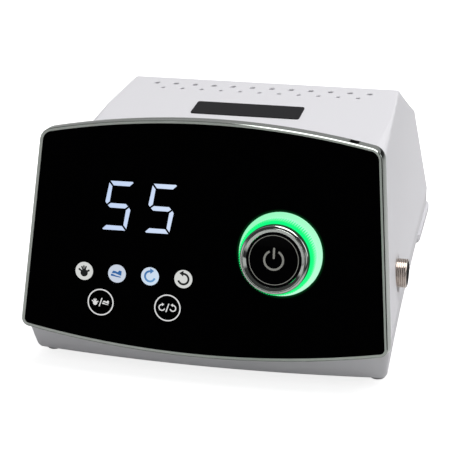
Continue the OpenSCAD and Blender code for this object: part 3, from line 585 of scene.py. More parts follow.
# Connectors: nickel on turned brass, a warm mirror; turning marks 0.4 mm apart
NICKEL = Finish("bright nickel plating", "#d6cbc2", "#c8bcb3", (0.06, 0.1), 0.4, metal=1.0,
                pattern=Pattern.BRUSH, stretch=(1.0, 0.15, 0.15))
# Boards: solder mask, paler green over copper tracks 1.6 mm apart
BOARD = Finish("green solder mask", "#1d5a34", "#3d8a55", (0.25, 0.4), 1.6, relief_mm=0.04,
               pattern=Pattern.TRACKS)
# Contacts: gold flash with a warm gleam; marks 0.5 mm across
GOLD = Finish("gold flash plating", "#d9b25f", "#c49a45", (0.18, 0.3), 0.5, metal=1.0)
# Encoder: die-cast zinc, a dull grey metal; mottle 0.7 mm
ZINC = Finish("die-cast zinc", "#9a9c9e", "#85878a", (0.35, 0.5), 0.7, metal=1.0, relief_mm=0.01)
# Transformer core: stacked steel sheets 0.5 mm thick, seen as fine bands
LAMINATE = Finish("stacked steel sheet", "#6f7276", "#3c3e42", (0.4, 0.6), 0.5, metal=0.8, relief_mm=0.05,
                  pattern=Pattern.BANDS, axis=Axis.Y)
# Transformer coil: wrapped polyester tape, glossy turns 1.2 mm apart
TAPE = Finish("wrapped polyester tape", "#c9a24a", "#a07a2c", (0.3, 0.45), 1.2, relief_mm=0.08,
              pattern=Pattern.BANDS, axis=Axis.Z)
# Heat sink: extruded aluminium, anodised to a dark satin; extrusion marks 0.4 mm apart
SINK = Finish("anodised aluminium", "#5c5e62", "#46484c", (0.38, 0.5), 0.4, metal=0.9, pattern=Pattern.BRUSH,
              stretch=(1.0, 1.0, 0.05))
# Fuse: drawn glass tube with a clear gloss; tint 2 mm across
FUSE = Finish("drawn tube glass", "#cfd8d6", "#b9c4c2", (0.05, 0.1), 2.0, clear=0.4)
# Rocker: translucent polycarbonate from a polished tool, with a wet gloss; mottle 1.5 mm
ROCKER_RED = Finish("red moulded polycarbonate", "#b3181c", "#8e0f13", (0.2, 0.3), 1.5, clear=0.3)
# Capacitors: shrunk PVC sleeve, glossy with waves 3 mm across
SLEEVE = Finish("blue shrunk PVC", "#2d5c94", "#234a7a", (0.2, 0.3), 3.0, clear=0.3)
# Ribbon: PVC extruded over cores 1.27 mm apart, which are seen as bands
RIBBON = Finish("grey extruded PVC", "#b9babd", "#7d7e82", (0.4, 0.5), 1.27, relief_mm=0.2,
                pattern=Pattern.BANDS)
# Transistors: moulded epoxy, matt; grain 0.3 mm
EPOXY = Finish("black moulded epoxy", "#242426", "#1a1a1c", (0.5, 0.65), 0.3, relief_mm=0.01)
# Key circles and signs: screen print lit evenly from behind; grain 0.3 mm
INK = Lit("white screen-printed ink", "#5a5a5a", "#545454", (0.4, 0.5), 0.3, near="#d8d8d8", strength=0.95)
# Rocker marks: pad-printed ink, matt white; grain 0.3 mm
PRINT = Finish("white pad-printed ink", "#dcdcda", "#d2d2d0", (0.4, 0.5), 0.3)
# Knob circle and sign: screen print whose grey gleam is a painted glow, a painted sheen; grain 0.3 mm
SILVER_INK = Lit("silver screen-printed ink", "#96968f", "#8a8a84", (0.35, 0.45), 0.3, near="#5a5a56",
                 strength=0.6)
# Signs on unlit lamps: screen print, matt and dark; grain 0.3 mm
DARK_INK = Finish("dark screen-printed ink", "#0a1216", "#05090c", (0.4, 0.5), 0.3)
# Unlit lamps: diffuser film, an even pale grey that glows; the glow is painted light that stands in for the
# light falling on it; grain 0.5 mm
LAMP_OFF = Lit("unlit diffuser film", "#5c5d5b", "#565755", (0.3, 0.4), 0.5, near="#cfd0ce", strength=0.95)
# Lit lamps: the same film in cold white, brighter towards the lower right; grain 0.5 mm
LAMP_ON = Lit("lit diffuser film", "#3c4450", "#38404c", (0.3, 0.4), 0.5, near="#c8d0de", far="#cfe8fd",
              strength=0.95, direction=(0.7, 0.0, -0.7), start_mm=-68.0, span_mm=22.0)
# Signs on lit lamps: blue filter ink, lighter towards the lower right; grain 0.5 mm
BLUE_INK = Lit("blue filter ink", "#142c44", "#10283e", (0.3, 0.4), 0.5, near="#2c62a2", far="#8cc8f4",
               strength=0.9, direction=(0.7, 0.0, -0.7), start_mm=-62.0, span_mm=14.0)
# Display bars: light pipes of cast epoxy, cold white and a little brighter to the right; grain 0.4 mm
DIGITS = Lit("cold white cast epoxy", "#20242c", "#1c2028", (0.3, 0.4), 0.4, near="#c3d5f4", far="#d3e1f8",
             strength=0.98, start_mm=-55.0, span_mm=45.0)
# LEDs: milky cast epoxy with a soft glow; mottle 0.8 mm
LED = Lit("milky cast epoxy", "#f2f0e4", "#e4e2d4", (0.2, 0.35), 0.8, near="#d8f0dc", strength=0.5)
# Ring: diffusing polycarbonate lit from behind, paler towards the lower right; mottle 1.5 mm
RING_LIT = Lit("lit moulded polycarbonate", "#0a2014", "#081c12", (0.25, 0.35), 1.5, near="#96fcc0",
               far="#bcffda", strength=0.98, direction=(0.7, 0.0, -0.7), start_mm=-45.0, span_mm=45.0)
# Knob skirt: translucent acrylic lit from below, deep green on the ridges and pale between; mottle 1 mm
KNURL = Lit("green moulded acrylic", "#042814", "#032010", (0.3, 0.4), 1.0, near="#a0ffc4", far="#00ff82",
            attribute="ridge")


@dataclass(frozen=True)
class Fascia:
    """The leaning barrel-shaped front: its glass outline and the chrome rim.

    crest and shoulder are the rim's two rounds: distance out from the glass edge, height over the glass and
    radius. notch_v and notch_n are the pry notch's reach up and out from the rim's top.
    """

    tilt: float = 15.0
    height: float = 75.0
    half_w: float = 90.0
    lean: float = 0.084
    half_h: float = 58.6
    top_r: float = 420.0
    bottom_r: float = 505.0
    corner_r: float = 5.0
    low_r: float = 2.6
    glass_t: float = 3.0
    rim_depth: float = 9.0
    rim_lip: float = 2.5
    rim_gap: float = 0.1
    rim_w: float = 2.4
    crest: Point = (1.08, 0.6, 0.12)
    shoulder: Point = (1.5, 0.02, 0.2)
    notch_x: float = 73.0
    notch_w: float = 4.4
    notch_v: tuple[float, float] = (-1.3, 2.0)
    notch_n: tuple[float, float] = (-8.0, -0.9)

    def place(self) -> Placement:
        """Returns the frame of the glass: right, up along the glass and out of it."""
        s, c = math.sin(math.radians(self.tilt)), math.cos(math.radians(self.tilt))
        return Placement((0.0, -FRONT_DEPTH, self.height), (1.0, 0.0, 0.0), (0.0, s, c), (0.0, -c, s))

    def corner(self, own: float, radius: float, sign: int) -> np.ndarray:
        """Finds where the side line and the upper or lower circle, both drawn in by the corner radius, meet.

        The line is x = a - lean v and the circle x^2 + (v - m)^2 = q^2, which gives a quadratic in v.

        Args:
            own: the corner's radius.
            radius: the circle's radius.
            sign: 1 for the upper corner and -1 for the lower one.

        Returns:
            The corner's centre.
        """
        a = self.half_w - own * math.hypot(1, self.lean)
        m, q = sign * (self.half_h - radius), radius - own
        k = np.roots([1 + self.lean ** 2, -2 * (a * self.lean + m), a * a + m * m - q * q])
        v = float(k.max() if sign > 0 else k.min())
        return np.array([a - self.lean * v, v])

    def spine(self) -> tuple[np.ndarray, ...]:
        """Works out the glass edge: two bowed edges, leaning sides and round corners.

        Returns:
            The points of the edge and the outward unit normals there, once round.
        """
        low, high = self.corner(self.low_r, self.bottom_r, -1), self.corner(self.corner_r, self.top_r, 1)
        low_mid, high_mid = self.bottom_r - self.half_h, self.half_h - self.top_r
        side = math.degrees(math.atan(self.lean))
        low_end = math.degrees(math.atan2(low[1] - low_mid, low[0]))
        high_end = math.degrees(math.atan2(high[1] - high_mid, high[0]))
        low_turn = arc(*low, self.low_r, low_end, side, 14)
        high_turn = arc(*high, self.corner_r, side, high_end, 14)
        along = np.linspace(0, 1, 42)[1:-1, None]
        points = [arc(0, low_mid, self.bottom_r, -90, low_end, 70), low_turn[1:],
                  low_turn[-1] + (high_turn[0] - low_turn[-1]) * along, high_turn,
                  arc(0, high_mid, self.top_r, high_end, 90, 70)[1:]]
        angles = [np.linspace(-90, low_end, 70), np.linspace(low_end, side, 14)[1:], np.full(40, side),
                  np.linspace(side, high_end, 14), np.linspace(high_end, 90, 70)[1:]]
        a = np.radians(np.concatenate(angles))
        halves = np.concatenate(points), np.stack([np.cos(a), np.sin(a)], axis=-1)
        return tuple(np.concatenate([half, half[-2:0:-1] * [-1.0, 1.0]]) for half in halves)

    def build(self) -> None:
        """Sweeps the rim's profile round the glass and cuts the pry notch, whose inside is painted black as
        shade; the sloping face is satin.
        """
        points, normals = self.spine()
        lip, gap, wide, glass, back = -self.rim_lip, self.rim_gap, self.rim_w, -self.glass_t, -self.rim_depth
        profile = np.array([[lip, back], [lip, glass], [gap, glass], [gap, 0.35],
                            *arc(*self.crest, 108, 45, 4), *arc(*self.shoulder, 45, 4, 5),
                            [wide, back + 2], [wide, back + 0.3], [wide - 0.3, back]])
        flat = points + profile[:, :1, None] * normals
        heights = np.broadcast_to(profile[:, 1:, None], (*flat.shape[:2], 1))
        made = Skin(self.place()).tube(np.concatenate([flat, heights], axis=-1), closed=True).solid("rim")
        top = self.half_h + self.rim_w + 0.05 - self.notch_x ** 2 / (2 * self.top_r)
        notch, half = self.place().moved(self.notch_x, top), self.notch_w / 2
        outline = rectangle(-half, self.notch_v[0], half, self.notch_v[1])
        carve(made, Skin(notch).prism(outline, *self.notch_n).solid("notch"))
        dress(made, RIM, nodes=("front_bezel",), sharp=30)
        centres, normals = faces_in(made, notch)
        x, v, n = centres.T
        sloping = (n > 0.3) & (normals[:, 2] > 0.8)
        # The notch's inner faces take the black finish: painted shade in the slot
        notch_shade = (np.abs(x) < half + 0.01) & (np.abs(v + 0.8) < 0.55) & (n < -0.8)
        mask(made, np.where(notch_shade, 2, sloping), SATIN, BLACK_ABS_AND_SHADE)


FASCIA = Fascia()
GLASS = FASCIA.place()


@dataclass(frozen=True)
class Housing:
    """The moulded upper shell, drawn as cross-sections from the fascia to the back.

    Each row of vents is a count, a radius and a depth; vent_n is a vent's reach below and above the roof.
    badge is the width, length and corner radius of the badge's recess.
    """

    wall: float = 2.6
    top: float = 107.0
    shoulder: float = 64.0
    top_end: float = 156.0
    rear: float = 242.0
    cowl_end: float = 48.0
    front_half: float = 94.5
    rear_half: float = 90.3
    taper_margin: float = 10.0
    taper_power: float = 2.5
    draft_front: float = 0.094
    draft_rear: float = 0.18
    draft_start: float = 60.0
    edge_r: float = 1.2
    edge_front_r: float = 7.0
    edge_fade: float = 60.0
    foot_r: float = 1.5
    rear_r: float = 6.0
    chin_r: float = 3.0
    chin_bow: float = 6.0
    chin_share: float = 0.2
    chin_edge: float = 0.9
    under: float = 4.0
    seam: float = 14.0
    seam_gap: float = 0.25
    tray_start: float = 8.0
    vents: tuple[tuple[int, float, float], ...] = ((12, 1.65, 146.0), (11, 1.3, 138.1))
    vent_pitch: float = 11.4
    vent_edge: float = 0.65
    vent_n: tuple[float, float] = (-8.0, 3.0)
    badge: Point = (61.2, 19.6, 1.6)
    badge_depth: float = 106.8
    badge_sink: float = 0.4
    past: float = 5.0

    def half(self, y: np.ndarray) -> np.ndarray:
        """Returns half the width at the foot, easing from the front's to the back's by a power law."""
        u = np.clip((y - self.taper_margin) / (self.rear - 2 * self.taper_margin), 0, 1)
        return self.front_half + (self.rear_half - self.front_half) * (1 - (1 - u) ** self.taper_power)

    def draft(self, y: np.ndarray) -> np.ndarray:
        """Returns how far the side leans in per unit of height, growing by a square law towards the back."""
        u = np.maximum(0, y - self.draft_start) / (self.rear - self.taper_margin - self.draft_start)
        return self.draft_front + (self.draft_rear - self.draft_front) * u ** 2

    def roof(self, y: np.ndarray) -> np.ndarray:
        """Draws the roof: level, then a bend into the rear slope that goes with t + sqrt(t^2 + 1).

        Args:
            y: depths behind the glass centre.

        Returns:
            Heights over the glass centre.
        """
        t = y - self.top_end
        fall = (self.top - self.shoulder) / (self.rear - self.top_end)
        return self.top - FASCIA.height - fall * (t + np.sqrt(t ** 2 + 1)) / 2

    def tail(self, y: np.ndarray) -> np.ndarray:
        """Returns how far the section is drawn in by the quarter round at the back edge."""
        t = np.clip(y - (self.rear - self.rear_r), 0, self.rear_r)
        return self.rear_r - np.sqrt(self.rear_r ** 2 - t ** 2)

    def rings(self, half: np.ndarray, lean: np.ndarray, top: np.ndarray, top_bow: np.ndarray,
              bottom: np.ndarray, bottom_bow: np.ndarray, top_r: np.ndarray,
              bottom_r: float) -> tuple[np.ndarray, np.ndarray]:
        """Draws closed section outlines: leaning sides, quarter-round corners, bowed top and bottom edges.

        Below the seam the sides stand upright. Each argument but the last is a column, one value per section.

        Args:
            half: half width at the glass centre's height.
            lean: gain in half width per unit of height.
            top: height of the top edge.
            top_bow: drop of the top edge at its ends.
            bottom: height of the bottom edge.
            bottom_bow: rise of the bottom edge at its ends.
            top_r: radius of the upper corners.
            bottom_r: radius of the lower corners.

        Returns:
            The across and upward coordinates, sections by points.
        """
        a = np.linspace(0, np.pi / 2, 11)[None]
        upright = self.seam - FASCIA.height
        low_w = bottom + bottom_r * (1 - np.cos(a))
        low_x = half + lean * np.maximum(low_w, upright) - bottom_r * (1 - np.sin(a))
        high_w = top - top_r * (1 - np.sin(a))
        high_x = half + lean * high_w - top_r * (1 - np.cos(a))
        low_end, high_end = low_w[:, -1:], high_w[:, :1]
        bend = np.maximum(upright, low_end + 1)
        f, g = np.linspace(0, 1, 4)[None, 1:], np.linspace(0, 1, 17)[None, 1:-1]
        side_w = np.concatenate([low_end * (1 - f) + bend * f, bend * (1 - g) + high_end * g], axis=1)
        side_x = half + lean * np.maximum(side_w, upright)
        share = (side_w - low_end) / (high_end - low_end)
        low_rise, high_drop = bottom_bow * (low_x / half) ** 2, top_bow * (high_x / half) ** 2
        side_w = side_w + low_rise[:, -1:] * (1 - share) - high_drop[:, :1] * share
        low_w, high_w = low_w + low_rise, high_w - high_drop
        g = np.linspace(1, -1, 61)[None, 1:-1]
        crown_x, belly_x = high_x[:, -1:] * g, -low_x[:, :1] * g
        crown_w = top - top_bow * (crown_x / half) ** 2
        belly_w = bottom + bottom_bow * (belly_x / half) ** 2
        right_x, right_w = np.hstack([low_x, side_x, high_x]), np.hstack([low_w, side_w, high_w])
        x = np.hstack([right_x, crown_x, -right_x[:, ::-1], belly_x])
        w = np.hstack([right_w, crown_w, right_w[:, ::-1], belly_w])
        return x, w

    def cowl(self, t: np.ndarray, inset: float) -> np.ndarray:
        """Draws the sections from the rim back to the level body.

        The section turns upright and settles from the fascia's outline to the body's. The bottom edge runs
        down to the foot over the first share, as a line eased into the level by half of d + sqrt(d^2 + k^2).

        Args:
            t: places from 0 at the rim to 1 at the body.
            inset: how far the section is drawn in.

        Returns:
            Points, sections by points by 3.
        """
        t = t[:, None]
        tilt = math.radians(FASCIA.tilt)
        lean_angle = tilt * (1 - t)
        pivot_y = FASCIA.rim_depth * math.cos(tilt) * (1 - t) + self.cowl_end * t
        pivot_z = FASCIA.height - FASCIA.rim_depth * math.sin(tilt) * (1 - t)
        grow = 1 - inset
        settle = 1 - (1 - t) ** 2
        end = np.array([self.cowl_end])
        drop = FASCIA.height - self.under
        floor = (self.under - pivot_z) / np.cos(lean_angle) + inset
        start = -FASCIA.half_h - grow
        d = (start - floor) * (1 - t / self.chin_share)
        bottom = floor + (d + np.sqrt(d ** 2 + self.chin_edge ** 2)) / 2
        down = 1 - np.clip((bottom - floor) / (start - floor), 0, 1)
        near = (1 - t) ** 3
        half = (FASCIA.half_w + grow) * near + (self.half(end) - drop * self.draft(end) - inset) * (1 - near)
        lean = -(FASCIA.lean * (1 - t) + self.draft(end) * t)
        top = (FASCIA.half_h + grow) * (1 - settle) + (self.top - FASCIA.height - inset) * settle
        top_bow = FASCIA.half_w ** 2 / (2 * FASCIA.top_r) * (1 - settle)
        bottom_bow = FASCIA.half_w ** 2 / (2 * FASCIA.bottom_r) * (1 - down)
        top_r = (FASCIA.corner_r + 1) * (1 - t) + self.edge_front_r * t
        x, w = self.rings(half, lean, top, top_bow, bottom, bottom_bow, top_r, self.chin_r)
        swell = self.chin_bow * down * (1 - t) * (np.maximum(0, -w) / drop) ** 2 * (1 - (x / half) ** 2)
        y, z = pivot_y + w * np.sin(lean_angle) - swell, pivot_z + w * np.cos(lean_angle)
        return np.stack([x, y, z], axis=-1)

    def trunk(self, y: np.ndarray, inset: float) -> np.ndarray:
        """Draws the upright sections of the body.

        Args:
            y: depths behind the glass centre.
            inset: how far the section is drawn in.

        Returns:
            Points, sections by points by 3.
        """
        y = y[:, None]
        drop = FASCIA.height - self.under
        shrink = self.tail(y) + inset
        half = self.half(y) - drop * self.draft(y) - shrink
        share = np.minimum(1, (y - self.cowl_end) / self.edge_fade)
        top_r = self.edge_front_r * (1 - share) + self.edge_r * share
        none = np.zeros_like(y)
        x, w = self.rings(half, -self.draft(y), self.roof(y) - shrink, none, none - drop + inset, none, top_r,
                          self.foot_r)
        return np.stack([x, y + 0 * x, FASCIA.height + w], axis=-1)

    def cutter(self) -> bpy.types.Object:
        """Makes the solids to cut away: the tray's room, badge recess, vents, socket hole, rear opening.

        Returns:
            The object that cuts.
        """
        cut = Skin(DEPTHS)
        wide = 2 * self.front_half
        room = rectangle(-wide, self.tray_start, wide, 2 * self.rear)
        cut.prism(room, -self.past, self.seam + self.seam_gap)
        recess = rounded(*self.badge) + [0, self.badge_depth]
        cut.prism(recess, self.top - self.badge_sink, self.top + self.past)
        low, high = self.vent_n
        for count, r, y in self.vents:
            edge = r + self.vent_edge
            hole = np.array([[0, low], [r, low], [r, -0.4], [edge, 0.25], [edge, high], [0, high]])
            for i in range(count):
                cut.place = DEPTHS.moved((i - (count - 1) / 2) * self.vent_pitch, y, self.top)
                cut.turned(hole, 28)
        cut.place = SOCKET.place()
        cut.turned(SOCKET.hole(), 64)
        cut.place = REAR.place()
        w, h = REAR.opening
        cut.prism(rectangle(-w / 2, -h / 2, w / 2, h / 2), *REAR.opening_n)
        return cut.solid("housing_cutter")

    def build(self) -> None:
        """Makes the shell from an outer and an inner skin and cuts its openings."""
        t = np.concatenate([np.linspace(0, 0.34, 35), np.linspace(0.34, 1, 26)[1:]])
        before, after = self.top_end - 10, self.top_end + 10
        y = np.concatenate([np.linspace(self.cowl_end, before, 30)[1:], np.linspace(before, after, 17)[1:],
                            np.linspace(after, self.rear - self.rear_r, 14)[1:]])
        bend = self.rear - self.rear_r * (1 - np.sin(np.linspace(0, np.pi / 2, 10)[1:]))
        outer = np.concatenate([self.cowl(t, 0), self.trunk(y, 0), self.trunk(bend, 0)])
        y_in = np.concatenate([y[::3], [self.rear - self.wall - 3, self.rear - self.wall]])
        inner = np.concatenate([self.cowl(t[::4], self.wall), self.trunk(y_in, self.wall)])
        shell = Skin(DEPTHS)
        for rings in (outer, inner, np.stack([outer[0], inner[0]])):
            shell.tube(rings)
        shell.cap(outer[-1])
        shell.cap(inner[-1])
        made = shell.solid("housing")
        carve(made, self.cutter())
        dress(made, ABS_WHITE, nodes=("upper_shell",), sharp=32)


@dataclass(frozen=True)
class Socket:
    """The threaded handpiece connector in the right side. Heights are over the spot-face."""

    face: float = 88.592
    depth: float = 74.5
    height: float = 30.3
    barrel_r: float = 8.0
    start: float = 0.4
    reach: float = 6.5
    neck_r: float = 7.5
    shank_r: float = 7.4
    bore_r: float = 6.5
    back: float = -10.2
    pitch: float = 1.0
    thread: float = 0.3
    hole_r: float = 7.6
    face_r: float = 10.6
    past: float = 9.0

    def place(self) -> Placement:
        """Returns the frame on the spot-face, with out along the axis."""
        return Placement((self.face, self.depth - FRONT_DEPTH, self.height), (0, 1, 0), (0, 0, 1), (1, 0, 0))

    def hole(self) -> np.ndarray:
        """Returns the profile of the hole in the housing and of the spot-face round it."""
        hole_r, face_r, past = self.hole_r, self.face_r, self.past
        return np.array([[0, -past], [hole_r, -past], [hole_r, 0], [face_r, 0], [face_r, past], [0, past]])

    def build(self) -> None:
        """Turns the shell, with the inward faces of its bore and mouth painted black as shade in the hole.

        The barrel's radius dips by the fourth power of a raised cosine of the height less the turn, which
        makes the narrow grooves of the thread.
        """
        ramp = np.linspace(self.start, self.reach - 0.5, 64)
        end = self.reach
        profile = np.concatenate([
            [[self.bore_r, self.back], [self.shank_r, self.back], [self.shank_r, 0], [self.neck_r, 0],
             [self.neck_r, self.start]],
            np.stack([np.full_like(ramp, self.barrel_r), ramp], axis=-1),
            [[7.45, end - 0.05], [7.2, end], [6.9, end], [self.bore_r, end - 0.4]]])
        wave = np.cos(2 * np.pi * profile[:, 1:] / self.pitch - turn_angles(96))
        dip = np.where(profile[:, :1] == self.barrel_r, self.thread * (0.5 + 0.5 * wave) ** 4, 0)
        made = Skin(self.place()).turned(profile, 96, closed=True, dip=dip).solid("socket_barrel")
        dress(made, NICKEL, nodes=("socket_shell",), sharp=40)
        # Faces that look in towards the axis, the bore and its mouth's chamfer, are painted black: painted
        # shade in the hole
        centres, normals = faces_in(made, self.place())
        mask(made, (centres[:, :2] * normals[:, :2]).sum(axis=1) < -3, BLACK_ABS_AND_SHADE)


SOCKET = Socket()


@dataclass(frozen=True)
class RearPanel:
    """The recessed connection plate: its marks and the frame it stands in."""

    face: float = 237.0
    height: float = 35.0
    opening: tuple[float, float] = (124.0, 36.0)
    opening_n: tuple[float, float] = (-1.0, 30.0)
    frame_t: float = 2.0
    frame_n: tuple[float, float] = (-5.0, 3.6)
    switch_x: float = -8.0
    pivot: float = -1.6
    swing: float = 9.0
    mark_v: float = 3.6
    mark_n: float = 4.63

    def place(self) -> Placement:
        """Returns the frame on the plate's face, with out to the back."""
        return Placement((0.0, self.face - FRONT_DEPTH, self.height), (-1, 0, 0), (0, 0, 1), (0, 1, 0))

    def build(self) -> None:
        """Makes the frame and lays the marks on the rocker's vee, which rests tipped by its swing."""
        w, h = self.opening
        outer, inner = rounded(w + 2 * self.frame_t, h + 2 * self.frame_t, 0.5), rounded(w, h, 0.3)
        low, high = self.frame_n
        rings = np.stack([lifted(outer, low), lifted(outer, high), lifted(inner, high), lifted(inner, low)])
        dress(Skin(self.place()).tube(rings, closed=True).solid("rear_recess"), ABS_WHITE)
        rocker = self.place().moved(self.switch_x, 0, self.pivot).tipped(self.swing)
        upper = rocker.moved(0, self.mark_v, self.mark_n).tipped(self.swing)
        lower = rocker.moved(0, -self.mark_v, self.mark_n).tipped(-self.swing)
        SIGNS.show("rocker_on_mark", [rounded(0.8, 3.2, 0.2)], upper, PRINT, body=Body.ROCKER)
        SIGNS.ring("rocker_off_mark", lower, 1.6, 0.6, PRINT, "lamp_white", Body.ROCKER)


REAR = RearPanel()


@dataclass(frozen=True)
class Signs:
    """Everything printed or lit on the glass, as thin films on its face."""

    film: float = 0.05
    digit_w: float = 12.1
    digit_h: float = 25.3
    stroke: float = 2.35
    slant: float = 8.5
    digit_pitch: float = 22.7
    digit_x: float = -34.15
    digit_v: float = 14.67
    lamp_x: float = -36.17
    lamp_v: float = -20.43
    lamp_pitch: float = 17.52
    lamp_r: float = 4.7
    key_x: float = -35.49
    key_v: float = -36.03
    key_pitch: float = 35.53
    key_r: float = 6.95
    key_stroke: float = 0.62
    key_sign_x: float = 2.9

    def bars(self) -> list[np.ndarray]:
        """Draws the bars of a five about its centre; the lower two are the upper ones turned half round.

        Returns:
            The five outlines.
        """
        w, h, s, m = self.digit_w, self.digit_h, self.stroke, self.digit_h / 2
        top = np.array([[0, h - 0.1], [w - 0.6, h + 0.05], [w, h - 0.45], [w - 1.75, h - s], [2.05, h - s]])
        left = np.array([[-0.45, h - 1], [1.4, h - 2.9], [1.4, m + 1.95], [0.05, m + 0.65], [-0.85, m + 1.8]])
        middle = np.array([[0.75, m], [2.1, m + s / 2], [w - 2.1, m + s / 2], [w - 0.75, m],
                           [w - 2.1, m - s / 2], [2.1, m - s / 2]])
        shapes = [top, left, middle, [w, h] - left, [w, h] - top]
        lean = math.tan(math.radians(self.slant))
        centred = [shape - [w / 2, h / 2] for shape in shapes]
        return [shape + np.column_stack([shape[:, 1] * lean, 0 * shape[:, 1]]) for shape in centred]

    @staticmethod
    def hand(size: float) -> list[np.ndarray]:
        """Draws an open hand: a palm's radius with a steep bump for each finger, by angle.

        Args:
            size: the reach of the longest finger.

        Returns:
            The outline.
        """
        a = np.radians(np.linspace(-90, 270, 240, endpoint=False))
        palm = 0.5
        reach = np.full_like(a, palm)
        # Each finger's angle, reach and half width, the angles in degrees
        fingers = ((146, 0.93, 11), (113, 0.95, 9), (94, 1.0, 8), (74, 0.96, 9), (29, 0.84, 12))
        for angle, length, width in fingers:
            off = np.clip(np.abs(np.degrees(a) - angle) / width, 0, 1)
            reach = np.maximum(reach, palm + (length - palm) * (1 - off ** 4) ** 0.5)
        return [size * np.stack([reach * np.cos(a), reach * np.sin(a) - 0.24], axis=-1)]

    @staticmethod
    def pedal(size: float) -> list[np.ndarray]:
        """Draws a foot pedal from the side: a base, a tipped plate and its toe rest.

        Args:
            size: the sign's scale.

        Returns:
            The outlines of the base and the plate.
        """
        base = np.array([[-0.8, -0.1], [-0.62, -0.06], [-0.1, -0.26], [0.5, -0.36], [0.5, -0.5],
                         [-0.5, -0.36], [-0.8, -0.32]])
        plate = np.array([[-0.68, 0.1], [-0.5, 0.36], [-0.14, 0.3], [0.1, 0.18], [0.3, 0.44], [0.62, 0.36],
                          [0.58, -0.24], [0.3, -0.16], [-0.2, 0.02], [-0.6, 0.02]])
        return [size * base, size * plate]

    @staticmethod
    def turn(size: float, sense: int) -> list[np.ndarray]:
        """Draws a turning arrow: most of a ring with an arrowhead at the top.

        Args:
            size: the sign's scale.
            sense: 1 for the arrow as drawn and -1 for its mirror image.

        Returns:
            The outline.
        """
        ring = np.concatenate([arc(0, 0, 0.92, 342, 90, 40), [[0.0, 1.24], [0.62, 0.86], [0.06, 0.38]],
                               arc(0, 0, 0.62, 88, 342, 40)])
        return [size * ring * [sense, 1]]

    def show(self, name: str, shapes: list[np.ndarray], place: Placement, finish: Finish,
             low: float = 0.0, body: Body = Body.CONSOLE) -> None:
        """Lays flat shapes as one thin film.

        Args:
            name: the piece's name.
            shapes: the outlines.
            place: the frame whose face carries the film.
            finish: the film's finish.
            low: height of the film's back over the face.
            body: the body it rides on.
        """
        skin = Skin(place)
        for shape in shapes:
            skin.prism(shape, low, low + self.film)
        dress(skin.solid(name), finish, body)

    def ring(self, name: str, place: Placement, radius: float, stroke: float, finish: Finish, slot: str,
             body: Body = Body.CONSOLE) -> None:
        """Lays a circular line as a thin film.

        Args:
            name: the piece's name.
            place: the frame whose face carries the film.
            radius: the line's outer radius.
            stroke: the line's width.
            finish: the film's finish.
            slot: the record's material slot; not used.
            body: the body it rides on.
        """
        profile = rectangle(radius - stroke, 0, radius, self.film)
        dress(Skin(place).turned(profile, 96, closed=True).solid(name), finish, body)

    def build(self) -> None:
        """Lays the two digits, the four lamps with their pictograms and the two outlined keys."""
        for i, name in enumerate(("tens_bars", "units_bars")):
            spot = GLASS.moved(self.digit_x + (i - 0.5) * self.digit_pitch, self.digit_v)
            self.show(name, self.bars(), spot, DIGITS)
        signs = (("hand", self.hand(size=3.9), False), ("pedal", self.pedal(size=4.0), True),
                 ("forward", self.turn(size=3.4, sense=1), True),
                 ("reverse", self.turn(size=3.5, sense=-1), False))
        disc = arc(0, 0, self.lamp_r, 0, 360, 73)[:-1]
        for i, (name, shapes, lit) in enumerate(signs):
            spot = GLASS.moved(self.lamp_x + (i - 1.5) * self.lamp_pitch, self.lamp_v)
            self.show(f"{name}_window", [disc], spot, LAMP_ON if lit else LAMP_OFF)
            self.show(f"{name}_sign", shapes, spot, BLUE_INK if lit else DARK_INK, self.film)
        pairs = (("mode", self.hand(size=2.3), self.pedal(size=2.5)),
                 ("direction", self.turn(size=1.95, sense=1), self.turn(size=1.95, sense=-1)))
        slash = np.array([[-1.0, -2.2], [-0.4, -2.2], [1.0, 2.2], [0.4, 2.2]])
        aside = np.array([self.key_sign_x, 0])
        for i, (name, left, right) in enumerate(pairs):
            spot = GLASS.moved(self.key_x + (i - 0.5) * self.key_pitch, self.key_v)
            self.ring(f"{name}_key_line", spot, self.key_r, self.key_stroke, INK, "lamp_white")
            shapes = [shape - aside for shape in left] + [slash] + [shape + aside for shape in right]
            self.show(f"{name}_key_sign", shapes, spot, INK)


SIGNS = Signs()


